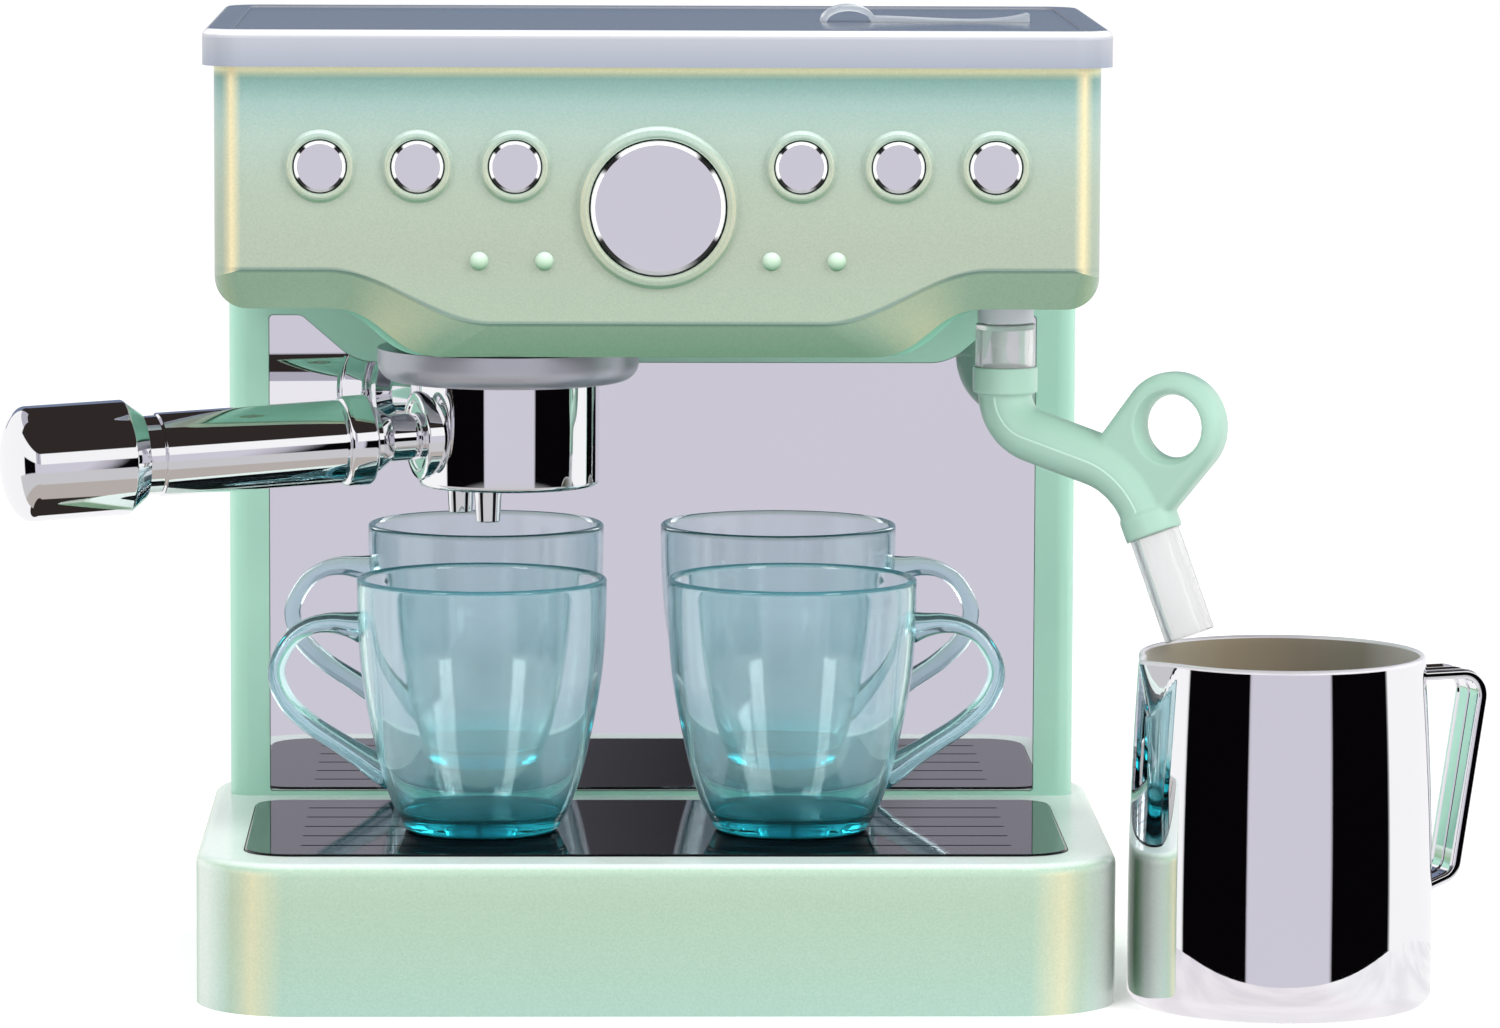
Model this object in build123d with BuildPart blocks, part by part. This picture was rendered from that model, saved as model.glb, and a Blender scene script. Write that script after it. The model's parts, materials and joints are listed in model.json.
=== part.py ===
from build123d import *
from math import asin, cos, degrees, radians, sin, tan
import os

os.makedirs("parts", exist_ok=True)

# Frame: +X to the right, the front faces -Y, +Z up. The origin is the centre of the base's underside.
# All sizes are millimetres.

# Walls and clearances
WALL = 2.4
RIB = 1.8
FIT_GAP = 0.2
PART_GAP = 0.3
SHAFT_GAP = 0.06
REST_GAP = 0.05
OPEN_CUT = 60.0

# Screws
SCREW_R = 1.4
SCREW_HEAD_R = 2.9
SCREW_HEAD_T = 1.0
SCREW_PILOT_GAP = 0.05
SCREW_HEAD_GAP = 0.3
SCREW_LENGTH = 9.0
BOSS_R = 3.6

# Base
BASE_WIDTH = 240.0
BASE_DEPTH = 160.0
BASE_HEIGHT = 39.5
BASE_FRONT_R = 26.0
BASE_REAR_R = 19.0
BASE_TOP_ROUND = 3.0
COVER_T = 2.2
BASE_BOSS_INSET = 9.0
BASE_BOSS_Y = (-44.0, 18.0)
BASE_REAR_BOSS_X = 72.0
BASE_REAR_BOSS_INSET = 14.0

# Drip tray and the basin below it
TRAY_BORDER = 12.6
TRAY_FRONT = -65.0
TRAY_REAR = 30.5
TRAY_FRONT_R = 12.0
TRAY_REAR_R = 8.0
TRAY_T = 2.0
TRAY_PROUD = 0.5
TRAY_LEDGE = 4.0
TRAY_SKIRT_H = 3.0
BASIN_DEPTH = 23.0
SLOT_COUNT = 5
SLOT_FIRST_Y = -49.8
SLOT_PITCH = 16.3
SLOT_INNER_X = 26.0
SLOT_END_INSET = 14.4
SLOT_WIDTH = 1.3

# Column with its two posts, and the mirror between them
COLUMN_WIDTH = 230.4
COLUMN_HEIGHT = 141.0
COLUMN_FRONT = 41.7
COLUMN_REAR = 80.0
COLUMN_FRONT_R = 5.0
COLUMN_REAR_R = 8.0
COLUMN_WALL = 3.0
COLUMN_SCREW_X = (-96.0, -36.0, 36.0, 96.0)
COLUMN_SCREW_Y = 64.0
REAR_SCREW_X = 84.0
REAR_SCREW_INSET = 22.5
MIRROR_HALF = 104.1
MIRROR_FOOT = 1.4
MIRROR_SIDE_DROP = 9.4
MIRROR_MID_DROP = 22.2
MIRROR_SHOULDER_X = 95.4
MIRROR_VALLEY_X = 80.6
MIRROR_T = 1.2
MIRROR_SUNK = 0.2

# Head
HEAD_WIDTH = 230.0
HEAD_FRONT = -54.0
HEAD_REAR = 80.0
HEAD_HEIGHT = 69.9
HEAD_CORNER_R = 8.0
HEAD_REAR_R = 8.0
LIP_DEPTH = 8.0
LIP_DIP = 12.6
LIP_SLOPE_OUT = 85.0
LIP_SLOPE_IN = 56.0
LIP_CORNER_R = 8.5
CREASE_RISE = 10.7
CREASE_DIP = 14.0
CREASE_SLOPE_OUT = 86.0
CREASE_SLOPE_IN = 43.0
CREASE_CORNER_R = 6.0
LIP_WALL = 1.6
HEAD_BOSS_X = 101.5
HEAD_BOSS_Y = (-32.0, 28.0)
NECK_BOSS_Y = 60.0
HEAD_BOSS_H = 20.0

# Panel under the head
PANEL_DROP = 3.2
PANEL_SLOPE_OUT = 87.0
PANEL_SLOPE_IN = 60.0
PANEL_CORNER_R = 7.0
PANEL_FLANGE = 6.0
PANEL_FRONT_GAP = 0.3

# Buttons: six small ones, one large one, four indicator bumps
SELECT_X = (-87.4, -62.2, -37.0, 37.0, 62.2, 87.4)
SELECT_RISE = 37.5
SELECT_CAP_R = 6.0
SELECT_HOLE_R = 7.1
SELECT_RING_R = 9.05
SELECT_RING_H = 1.2
SELECT_PROUD = 1.0
SELECT_FLANGE_R = 8.2
SELECT_STEM_R = 2.0
SELECT_TRAVEL = 2.0
SELECT_COIL_R = 3.4
SELECT_COILS = 3
BREW_RISE = 26.9
BREW_CAP_R = 16.75
BREW_HOLE_R = 17.95
BREW_RING_R = 20.55
BREW_RING_H = 1.5
BREW_PROUD = 1.4
BREW_FLANGE_R = 19.4
BREW_STEM_R = 4.5
BREW_TRAVEL = 4.0
BREW_COIL_R = 8.0
BREW_COILS = 3
BREW_BEVEL = 1.1
FLANGE_T = 1.6
WIRE = 0.8
BUMP_X = (-46.3, -29.4, 29.4, 46.3)
BUMP_RISE = 13.0
BUMP_R = 2.4
BUMP_SUNK = 1.0

# Carrier plate, valve, tank and hoses inside the head
CARRIER_Y = -38.0
CARRIER_T = 2.0
CARRIER_HALF = 106.0
CARRIER_BELOW_BREW = 11.4
CARRIER_ABOVE_SELECT = 12.0
CARRIER_LOW_SCREW = (100.0, 8.0)
CARRIER_HIGH_SCREW = (26.5, 5.5)
VALVE_FLANGE_R = 14.0
VALVE_FLANGE_T = 2.0
VALVE_BODY_R = 8.5
VALVE_END_Y = -16.0
VALVE_OUTLET_Y = -23.0
NIPPLE_R = 3.0
NIPPLE_BORE_R = 1.6
NIPPLE_L = 6.0
OUTLET_L = 4.0
HOSE_WALL = 1.2
TANK_HALF = 97.0
TANK_FRONT = -4.0
TANK_REAR = 74.0
TANK_FLOOR_RISE = 5.5
TANK_TOP_DROP = 8.4
TANK_R = 10.0
TANK_FLANGE_T = 2.0
TANK_LEDGE = 3.4

# Group collar and portafilter
GROUP_X = -39.0
GROUP_Y = -12.0
COLLAR_R = 34.6
COLLAR_HEIGHT = 8.7
COLLAR_TOP_GAP = 0.4
COLLAR_ROUND = 5.0
COLLAR_LEDGE_R = 25.0
COLLAR_LEDGE_T = 3.4
COLLAR_GROOVE_R = 29.2
COLLAR_GROOVE_H = 3.9
BASKET_R = 24.2
BASKET_WALL = 1.6
BASKET_FLOOR_T = 2.2
BASKET_DROP = 27.8
BASKET_ROUND = 1.2
LUG_R = 28.8
LUG_WIDTH = 12.0
LUG_T = 2.9
LUG_ENTRY_TURN = -20.0
HANDLE_TURN = 18.0
HANDLE_DROOP = 2.2
HANDLE_RISE = 14.5
HANDLE_BOSS_R = 11.8
HANDLE_BOSS_END = 25.6
NECK_R = 6.2
NECK_END = 33.5
COLLAR_RING_R = 11.9
COLLAR_RING_START = 38.6
COLLAR_RING_END = 45.8
GRIP_R = 11.0
GRIP_END = 95.8
GROOVE_R = 10.4
GROOVE_END = 100.4
KNOB_R = 15.1
KNOB_START_R = 11.6
KNOB_CONE_END = 105.2
KNOB_DOME_START = 130.6
KNOB_END = 137.4
SPIGOT_R = 8.0
SPIGOT_L = 9.0
SPOUT_OFFSET = 9.4
SPOUT_HALF_SPREAD = 12.1
SPOUT_TOP_R = 3.8
SPOUT_TIP_R = 3.2
SPOUT_DROP = 8.4
SPOUT_BORE_R = 1.8

# Steam wand
WAND_X = 92.4
WAND_Y = -16.0
WAND_SWING = 28.0
BUSH_R = 7.4
BUSH_DROP = 2.6
BUSH_FLANGE_R = 10.4
BUSH_BORE_R = 5.5
WAND_TUBE_R = 7.95
WAND_TUBE_WALL = 1.7
WAND_COLLAR_R = 8.6
WAND_COLLAR_DROP = 14.3
WAND_COLLAR_L = 7.0
WAND_SOCKET = 5.0
ELBOW_R = 7.1
ELBOW_CORNER_1 = (0.0, -15.8)
ELBOW_CORNER_2 = (37.2, -26.6)
ELBOW_BEND_1 = 11.5
ELBOW_BEND_2 = 24.0
ELBOW_END = (43.5, -42.5)
END_COLLAR_R = 7.7
END_COLLAR_L = 6.0
LOWER_TUBE_R = 6.35
LOWER_TUBE_WALL = 1.4
LOWER_TUBE_GAP = 0.6
RING_CENTRE = (48.95, -13.6)
RING_R = 14.3
RING_HOLE_R = 9.6
RING_T = 9.6
RING_ROUND = 3.4
RING_WEB_1 = (29.4, -19.8)
RING_WEB_2 = (46.6, -35.0)
RING_WEB_R = 2.4

# Cups
CUP_X = (-45.9, 36.1)
CUP_Y = -21.4
CUP_HEIGHT = 67.2
CUP_RIM_R = 33.05
CUP_BELLY = ((24.1, 8.0), (28.8, 24.8), (32.0, 43.0))
CUP_FOOT_R = 20.8
CUP_FOOT_ROUND = 1.2
CUP_WALL = 1.9
CUP_FLOOR_T = 5.0
CUP_HANDLE = ((31.0, 54.6), (48.2, 56.8), (56.8, 42.0), (47.0, 28.4), (25.5, 16.4))
CUP_HANDLE_BENDS = (11.5, 12.0, 28.0)
CUP_HANDLE_HALF_T = 2.5
CUP_HANDLE_HALF_W = 3.4

# Milk jug
JUG_X = 163.2
JUG_Y = -52.8
JUG_TURN = 22.0
JUG_HEIGHT = 91.4
JUG_RIM_R = 37.4
JUG_BELLY_R = 39.6
JUG_BELLY_Z = 40.0
JUG_BOTTOM_R = 39.7
JUG_ROUND = 3.0
JUG_WALL = 1.6
JUG_FLOOR_T = 2.4
JUG_BEAK_REACH = 42.0
JUG_BEAK_HALF = 17.5
JUG_BEAK_DROP = 18.0
JUG_BEAK_WALL = 1.85
JUG_STRAP_W = 14.0
JUG_STRAP_T = 2.6
JUG_STRAP = ((37.0, 84.1), (57.3, 84.1), (48.6, 31.0), (38.0, 27.2))
JUG_STRAP_BENDS = (6.0, 5.0)
JUG_STRAP_RIB_W = 1.5
JUG_STRAP_RIB_H = 0.5

# Lid and its pull tab
LID_OVERHANG = 3.0
LID_FRONT_OVERHANG = 2.4
LID_SKIRT = 6.6
LID_RISE = 3.1
LID_CORNER_R = 10.4
LID_EDGE_ROUND = 2.4
LID_PANEL_SUNK = 0.5
LID_BORDER = 8.0
LID_PLUG_T = 1.6
LID_PLUG_H = 4.0
TAB_LEFT = 43.6
TAB_RIGHT = 98.8
TAB_Y = 0.0
TAB_WIDTH = 11.0
TAB_T = 1.5
TAB_LOOP_HALF = 7.4
TAB_LOOP_H = 4.6
TAB_TIP_LIFT = 0.9

# Levels that follow from the sizes above. The lip's level at the sides is the top of the column.
LIP_SIDE = BASE_HEIGHT + COLUMN_HEIGHT
LIP_MIDDLE = LIP_SIDE - LIP_DIP
CREASE_SIDE = LIP_SIDE + CREASE_RISE
CREASE_MIDDLE = CREASE_SIDE - CREASE_DIP
HEAD_TOP = LIP_SIDE + HEAD_HEIGHT
SELECT_Z = LIP_SIDE + SELECT_RISE
BREW_Z = LIP_SIDE + BREW_RISE
BUMP_Z = LIP_SIDE + BUMP_RISE
TANK_FLOOR = LIP_SIDE + TANK_FLOOR_RISE
TANK_TOP = HEAD_TOP - TANK_TOP_DROP
COLLAR_TOP = LIP_MIDDLE - COLLAR_TOP_GAP
COLLAR_BOTTOM = COLLAR_TOP - COLLAR_HEIGHT
BASKET_BOTTOM = COLLAR_BOTTOM - BASKET_DROP
HANDLE_Z = BASKET_BOTTOM + HANDLE_RISE
SPOUT_TIP_Z = BASKET_BOTTOM - SPOUT_DROP
LID_BOTTOM = HEAD_TOP - LID_SKIRT
LID_TOP = HEAD_TOP + LID_RISE


def facing_front(depth):
    """Plane at Y = depth. Its x is +X, its y is +Z, and extruding from it goes towards the front."""
    return Plane.XZ.offset(-depth)


def rounded_plan(width, front, rear, front_radius, rear_radius):
    """Plan outline whose front and rear corners have their own radii."""
    half = width / 2
    corners = [(-half, front), (half, front), (half, rear), (-half, rear)]
    radii = [front_radius, front_radius, rear_radius, rear_radius]
    with BuildLine() as outline:
        FilletPolyline(*corners, radius=radii, close=True)
    make_face(outline.edges())


def wave(side, middle, slope_out, slope_in):
    """Right half of the head's lower contour: flat middle, S-shaped rise, up to slope_out."""
    Line((0, middle), (slope_in, middle))
    Spline((slope_in, middle), (slope_out, side), tangents=((1, 0), (1, 0)))


def head_section(half, side, middle, slope_out, slope_in, corner):
    """Front view of the head: the waved bottom, rounded lower corners and straight sides."""
    with BuildLine() as outline:
        wave(side, middle, slope_out, slope_in)
        Line((slope_out, side), (half - corner, side))
        CenterArc((half - corner, side + corner), corner, -90, 90)
        Line((half, side + corner), (half, HEAD_TOP))
        Line((half, HEAD_TOP), (0, HEAD_TOP))
        mirror(about=Plane.YZ)
    make_face(outline.edges())


def circles(points, radius, plane):
    """Sketch of equal circles at points of the plane."""
    with BuildSketch(plane) as discs:
        with Locations(*points):
            Circle(radius)
    return discs.sketch


def add_screws(seats, length=SCREW_LENGTH):
    """Pan-head screws. Each seat lies under its head, with its normal out of the head."""
    for seat in seats:
        extrude(circles([(0, 0)], SCREW_HEAD_R, seat), amount=SCREW_HEAD_T)
        extrude(circles([(0, 0)], SCREW_R, seat), amount=-length)


def add_bosses(points, plane, height):
    """Screw bosses with a pilot hole along their whole length."""
    extrude(circles(points, BOSS_R, plane), amount=height)
    cut_circles(points, SCREW_R + SCREW_PILOT_GAP, plane, height)


def cut_circles(points, radius, plane, depth):
    """Round holes at the points, cut along the plane's normal."""
    extrude(circles(points, radius, plane), amount=depth, mode=Mode.SUBTRACT)


def save(piece, name):
    """Label the finished piece and write its STEP file."""
    piece.label = name
    export_step(piece, f"parts/{name}.step")


# ---------------------------------------------------------------- base
base_front = -BASE_DEPTH / 2
base_rear = BASE_DEPTH / 2
deck_under = BASE_HEIGHT - WALL
tray_seat = BASE_HEIGHT + TRAY_PROUD - TRAY_T
basin_floor = BASE_HEIGHT - BASIN_DEPTH
rear_boss_y = base_rear - BASE_REAR_BOSS_INSET
base_boss_x = BASE_WIDTH / 2 - BASE_BOSS_INSET
base_bosses = [(sign * base_boss_x, y) for sign in (-1, 1) for y in BASE_BOSS_Y]
base_bosses += [(sign * BASE_REAR_BOSS_X, rear_boss_y) for sign in (-1, 1)]
column_screws_at = [(x, COLUMN_SCREW_Y) for x in COLUMN_SCREW_X]
tray_width = BASE_WIDTH - 2 * TRAY_BORDER
basin_width = tray_width - 2 * TRAY_LEDGE
basin_front = TRAY_FRONT + TRAY_LEDGE
basin_rear = TRAY_REAR - TRAY_LEDGE
basin_r = TRAY_FRONT_R - TRAY_LEDGE

shell_inside = BASE_WIDTH - 2 * WALL

with BuildPart() as base_shell:
    with BuildSketch():
        rounded_plan(BASE_WIDTH, base_front, base_rear, BASE_FRONT_R, BASE_REAR_R)
    extrude(amount=BASE_HEIGHT)
    fillet(base_shell.faces().sort_by(Axis.Z)[-1].edges(), BASE_TOP_ROUND)
    with BuildSketch():
        rounded_plan(
            shell_inside, base_front + WALL, base_rear - WALL, BASE_FRONT_R - WALL, BASE_REAR_R - WALL
        )
    extrude(amount=deck_under, mode=Mode.SUBTRACT)
    with BuildSketch(Plane.XY.offset(basin_floor - RIB)):
        rounded_plan(basin_width + 2 * RIB, basin_front - RIB, basin_rear + RIB, basin_r + RIB, basin_r + RIB)
    extrude(amount=BASE_HEIGHT - basin_floor)
    with BuildSketch(Plane.XY.offset(basin_floor)):
        rounded_plan(basin_width, basin_front, basin_rear, basin_r, basin_r)
    extrude(amount=OPEN_CUT, mode=Mode.SUBTRACT)
    with BuildSketch(Plane.XY.offset(tray_seat)):
        rounded_plan(
            tray_width + 2 * PART_GAP,
            TRAY_FRONT - PART_GAP,
            TRAY_REAR + PART_GAP,
            TRAY_FRONT_R + PART_GAP,
            TRAY_REAR_R + PART_GAP,
        )
    extrude(amount=OPEN_CUT, mode=Mode.SUBTRACT)
    add_bosses(base_bosses, Plane.XY.offset(COVER_T), deck_under - COVER_T)
    cut_circles(column_screws_at, SCREW_R + SCREW_PILOT_GAP, Plane.XY.offset(deck_under - WALL), OPEN_CUT)
save(base_shell.part, "base_shell")

cover_edge = WALL + FIT_GAP
with BuildPart() as base_cover:
    with BuildSketch():
        rounded_plan(
            BASE_WIDTH - 2 * cover_edge,
            base_front + cover_edge,
            base_rear - cover_edge,
            BASE_FRONT_R - cover_edge,
            BASE_REAR_R - cover_edge,
        )
    extrude(amount=COVER_T)
    cut_circles(base_bosses, SCREW_R + PART_GAP, Plane.XY, COVER_T)
    cut_circles(base_bosses, SCREW_HEAD_R + SCREW_HEAD_GAP, Plane.XY, SCREW_HEAD_T + SCREW_HEAD_GAP)
save(base_cover.part, "base_cover")

head_seat = SCREW_HEAD_T + SCREW_HEAD_GAP
with BuildPart() as base_screws:
    add_screws([Plane((x, y, head_seat), z_dir=(0, 0, -1)) for x, y in base_bosses])
save(base_screws.part, "base_screws")

with BuildPart() as column_screws:
    add_screws([Plane((x, y, deck_under), z_dir=(0, 0, -1)) for x, y in column_screws_at])
save(column_screws.part, "column_screws")

# ---------------------------------------------------------------- drip tray
with BuildPart() as drip_tray:
    with BuildSketch(Plane.XY.offset(tray_seat + REST_GAP)):
        rounded_plan(tray_width, TRAY_FRONT, TRAY_REAR, TRAY_FRONT_R, TRAY_REAR_R)
    extrude(amount=TRAY_T)
    fillet(drip_tray.faces().sort_by(Axis.Z)[-1].edges(), TRAY_PROUD)
    with BuildSketch(Plane.XY.offset(tray_seat + REST_GAP)):
        rounded_plan(
            basin_width - 2 * PART_GAP, basin_front + PART_GAP, basin_rear - PART_GAP, basin_r, basin_r
        )
        offset(amount=-RIB, mode=Mode.SUBTRACT)
    extrude(amount=-TRAY_SKIRT_H)
    slot_outer = tray_width / 2 - SLOT_END_INSET
    slot_length = slot_outer - SLOT_INNER_X
    slot_centres = [
        (sign * (SLOT_INNER_X + slot_outer) / 2, SLOT_FIRST_Y + SLOT_PITCH * row)
        for sign in (-1, 1)
        for row in range(SLOT_COUNT)
    ]
    with BuildSketch(Plane.XY.offset(tray_seat - TRAY_T)):
        with Locations(*slot_centres):
            SlotOverall(slot_length, SLOT_WIDTH)
    extrude(amount=3 * TRAY_T, mode=Mode.SUBTRACT)
save(drip_tray.part, "drip_tray")
tray_top = tray_seat + REST_GAP + TRAY_T

# ---------------------------------------------------------------- column, mirror and rear cover
column_floor = BASE_HEIGHT + WALL
column_inner = COLUMN_WIDTH - 2 * WALL
column_ceiling = LIP_SIDE - WALL
rear_screw_levels = (BASE_HEIGHT + REAR_SCREW_INSET, LIP_SIDE - REAR_SCREW_INSET)
rear_bosses = [(sign * REAR_SCREW_X, z) for sign in (-1, 1) for z in rear_screw_levels]
cover_front = COLUMN_REAR - WALL


def mirror_outline(gap):
    """Outline between the posts, grown by gap. Its top dips in the middle as the head does."""
    foot = BASE_HEIGHT + MIRROR_FOOT - gap
    half = MIRROR_HALF + gap
    side = LIP_SIDE - MIRROR_SIDE_DROP + gap
    middle = LIP_SIDE - MIRROR_MID_DROP + gap
    right = [
        (half, foot),
        (half, side),
        (MIRROR_SHOULDER_X, side),
        (MIRROR_VALLEY_X, middle),
    ]
    left = [(-x, z) for x, z in reversed(right)]
    with BuildLine() as outline:
        FilletPolyline(*right, *left, radius=[1, 1, 3, 14, 14, 3, 1, 1], close=True)
    make_face(outline.edges())


with BuildPart() as rear_housing:
    with BuildSketch(Plane.XY.offset(BASE_HEIGHT)):
        rounded_plan(COLUMN_WIDTH, COLUMN_FRONT, COLUMN_REAR, COLUMN_FRONT_R, COLUMN_REAR_R)
    extrude(amount=LIP_SIDE - BASE_HEIGHT)
    with BuildSketch(Plane.XY.offset(column_floor)):
        rounded_plan(
            column_inner, COLUMN_FRONT + COLUMN_WALL, COLUMN_REAR + OPEN_CUT, COLUMN_FRONT_R, COLUMN_REAR_R
        )
    extrude(amount=column_ceiling - column_floor, mode=Mode.SUBTRACT)
    with BuildSketch(facing_front(COLUMN_FRONT + MIRROR_T + MIRROR_SUNK)):
        mirror_outline(FIT_GAP)
    extrude(amount=MIRROR_T + MIRROR_SUNK, mode=Mode.SUBTRACT)
    add_bosses(rear_bosses, facing_front(cover_front), cover_front - COLUMN_FRONT - COLUMN_WALL)
    add_bosses(column_screws_at, Plane.XY.offset(BASE_HEIGHT), SCREW_LENGTH)
    cut_circles(
        [(sign * HEAD_BOSS_X, NECK_BOSS_Y) for sign in (-1, 1)],
        SCREW_R + PART_GAP,
        Plane.XY.offset(column_ceiling),
        WALL,
    )
save(rear_housing.part, "rear_housing")

with BuildPart() as mirror_panel:
    with BuildSketch(facing_front(COLUMN_FRONT + MIRROR_T + MIRROR_SUNK)):
        mirror_outline(0)
    extrude(amount=MIRROR_T)
save(mirror_panel.part, "mirror_panel")

with BuildPart() as rear_cover:
    with BuildSketch(facing_front(COLUMN_REAR)):
        with Locations((0, (column_floor + column_ceiling) / 2)):
            Rectangle(column_inner - 2 * FIT_GAP, column_ceiling - column_floor - 2 * FIT_GAP)
    extrude(amount=WALL)
    cut_circles(rear_bosses, SCREW_R + PART_GAP, facing_front(COLUMN_REAR), WALL)
    cut_circles(
        rear_bosses, SCREW_HEAD_R + SCREW_HEAD_GAP, facing_front(COLUMN_REAR), SCREW_HEAD_T + SCREW_HEAD_GAP
    )
save(rear_cover.part, "rear_cover")

with BuildPart() as rear_screws:
    seat_y = COLUMN_REAR - SCREW_HEAD_T - SCREW_HEAD_GAP
    add_screws([Plane((x, seat_y, z), z_dir=(0, 1, 0)) for x, z in rear_bosses])
save(rear_screws.part, "rear_screws")

# ---------------------------------------------------------------- head shell
head_half = HEAD_WIDTH / 2
cavity_half = head_half - WALL
lip_rear = HEAD_FRONT + LIP_DEPTH
face_back = HEAD_FRONT + WALL
head_bosses = [(sign * HEAD_BOSS_X, y) for sign in (-1, 1) for y in HEAD_BOSS_Y]
neck_bosses = [(sign * HEAD_BOSS_X, NECK_BOSS_Y) for sign in (-1, 1)]
panel_side = LIP_SIDE - PANEL_DROP
panel_middle = LIP_MIDDLE - PANEL_DROP
panel_top_side = panel_side + WALL
ledge_z = TANK_TOP - TANK_FLANGE_T
carrier_bottom = BREW_Z - CARRIER_BELOW_BREW
carrier_top = SELECT_Z + CARRIER_ABOVE_SELECT
carrier_bosses = [(sign * CARRIER_LOW_SCREW[0], carrier_bottom + CARRIER_LOW_SCREW[1]) for sign in (-1, 1)]
carrier_bosses += [(sign * CARRIER_HIGH_SCREW[0], carrier_top - CARRIER_HIGH_SCREW[1]) for sign in (-1, 1)]

# The hollow behind the front face. Its floor follows the lip.
with BuildPart() as head_cavity:
    with BuildSketch(facing_front(lip_rear + WALL)):
        head_section(
            cavity_half, LIP_SIDE + LIP_WALL, LIP_MIDDLE + LIP_WALL, LIP_SLOPE_OUT, LIP_SLOPE_IN, LIP_CORNER_R
        )
    with BuildSketch(facing_front(face_back)):
        head_section(
            cavity_half,
            CREASE_SIDE + LIP_WALL,
            CREASE_MIDDLE + LIP_WALL,
            CREASE_SLOPE_OUT,
            CREASE_SLOPE_IN,
            CREASE_CORNER_R,
        )
    loft(ruled=True)
    with BuildSketch(Plane.XY.offset(LIP_MIDDLE - OPEN_CUT)):
        rounded_plan(
            2 * cavity_half, face_back, HEAD_REAR - WALL, HEAD_CORNER_R - WALL, HEAD_REAR_R - WALL
        )
    extrude(amount=3 * OPEN_CUT, mode=Mode.INTERSECT)

with BuildPart() as head_shell:
    with BuildSketch(facing_front(lip_rear)):
        head_section(head_half, LIP_SIDE, LIP_MIDDLE, LIP_SLOPE_OUT, LIP_SLOPE_IN, LIP_CORNER_R)
    with BuildSketch(facing_front(HEAD_FRONT)):
        head_section(
            head_half, CREASE_SIDE, CREASE_MIDDLE, CREASE_SLOPE_OUT, CREASE_SLOPE_IN, CREASE_CORNER_R
        )
    loft(ruled=True)
    with BuildSketch(facing_front(COLUMN_FRONT)):
        head_section(head_half, LIP_SIDE, LIP_MIDDLE, LIP_SLOPE_OUT, LIP_SLOPE_IN, LIP_CORNER_R)
    extrude(amount=COLUMN_FRONT - lip_rear)
    with BuildSketch(facing_front(HEAD_REAR)):
        with Locations((0, (LIP_SIDE + HEAD_TOP) / 2)):
            Rectangle(HEAD_WIDTH, HEAD_TOP - LIP_SIDE)
    extrude(amount=HEAD_REAR - COLUMN_FRONT)
    with BuildSketch(Plane.XY.offset(LIP_MIDDLE - OPEN_CUT)):
        rounded_plan(HEAD_WIDTH, HEAD_FRONT, HEAD_REAR, HEAD_CORNER_R, HEAD_REAR_R)
    extrude(amount=HEAD_TOP - LIP_MIDDLE + OPEN_CUT, mode=Mode.INTERSECT)
    add(head_cavity.part, mode=Mode.SUBTRACT)
    with BuildSketch(Plane.XY.offset(LIP_MIDDLE - OPEN_CUT)):
        rounded_plan(2 * cavity_half, lip_rear + WALL, HEAD_REAR - WALL, 0, HEAD_REAR_R - WALL)
    extrude(amount=3 * OPEN_CUT, mode=Mode.SUBTRACT)
    # Raised button rings and their holes.
    with BuildSketch(facing_front(HEAD_FRONT)):
        with Locations(*[(x, SELECT_Z) for x in SELECT_X]):
            Circle(SELECT_RING_R)
    extrude(amount=SELECT_RING_H, taper=20)
    with BuildSketch(facing_front(HEAD_FRONT)):
        with Locations((0, BREW_Z)):
            Circle(BREW_RING_R)
    extrude(amount=BREW_RING_H, taper=20)
    cut_circles([(x, SELECT_Z) for x in SELECT_X], SELECT_HOLE_R, facing_front(face_back), WALL + BREW_RING_H)
    cut_circles([(0, BREW_Z)], BREW_HOLE_R, facing_front(face_back), WALL + BREW_RING_H)
    with Locations(*[(x, HEAD_FRONT + BUMP_SUNK, BUMP_Z) for x in BUMP_X]):
        Sphere(BUMP_R)
    # Bosses for the carrier plate, bosses for the panel below, and ledges that carry the tank.
    add_bosses(carrier_bosses, facing_front(CARRIER_Y - CARRIER_T), CARRIER_Y - CARRIER_T - face_back)
    add_bosses(head_bosses, Plane.XY.offset(panel_top_side), HEAD_BOSS_H)
    add_bosses(neck_bosses, Plane.XY.offset(LIP_SIDE), HEAD_BOSS_H)
    for side in (-1, 1):
        for y in (*HEAD_BOSS_Y, NECK_BOSS_Y):
            with BuildSketch(Plane.XY.offset(panel_top_side + PANEL_FLANGE + PANEL_CORNER_R)):
                with Locations((side * (HEAD_BOSS_X + BOSS_R + cavity_half) / 2, y)):
                    Rectangle(cavity_half - HEAD_BOSS_X - BOSS_R + 1, RIB)
            extrude(amount=HEAD_BOSS_H - PANEL_FLANGE - PANEL_CORNER_R)
        with BuildSketch(Plane.XY.offset(ledge_z - RIB)):
            with Locations((side * (cavity_half - TANK_LEDGE / 2), (TANK_FRONT + TANK_REAR) / 2)):
                Rectangle(TANK_LEDGE, TANK_REAR - TANK_FRONT - 2 * TANK_R)
        extrude(amount=RIB)
save(head_shell.part, "head_shell")

# ---------------------------------------------------------------- panel under the head
panel_half = cavity_half - FIT_GAP
panel_front = lip_rear + WALL + PANEL_FRONT_GAP
panel_rear = COLUMN_FRONT - FIT_GAP
pocket_r = COLLAR_R + FIT_GAP


def panel_contour(half, side, middle, corner, top):
    """Right half of one face of the panel, from the middle to the top of its side flange."""
    wave(side, middle, PANEL_SLOPE_OUT, PANEL_SLOPE_IN)
    Line((PANEL_SLOPE_OUT, side), (half - corner, side))
    CenterArc((half - corner, side + corner), corner, -90, 90)
    Line((half, side + corner), (half, top))


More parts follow.
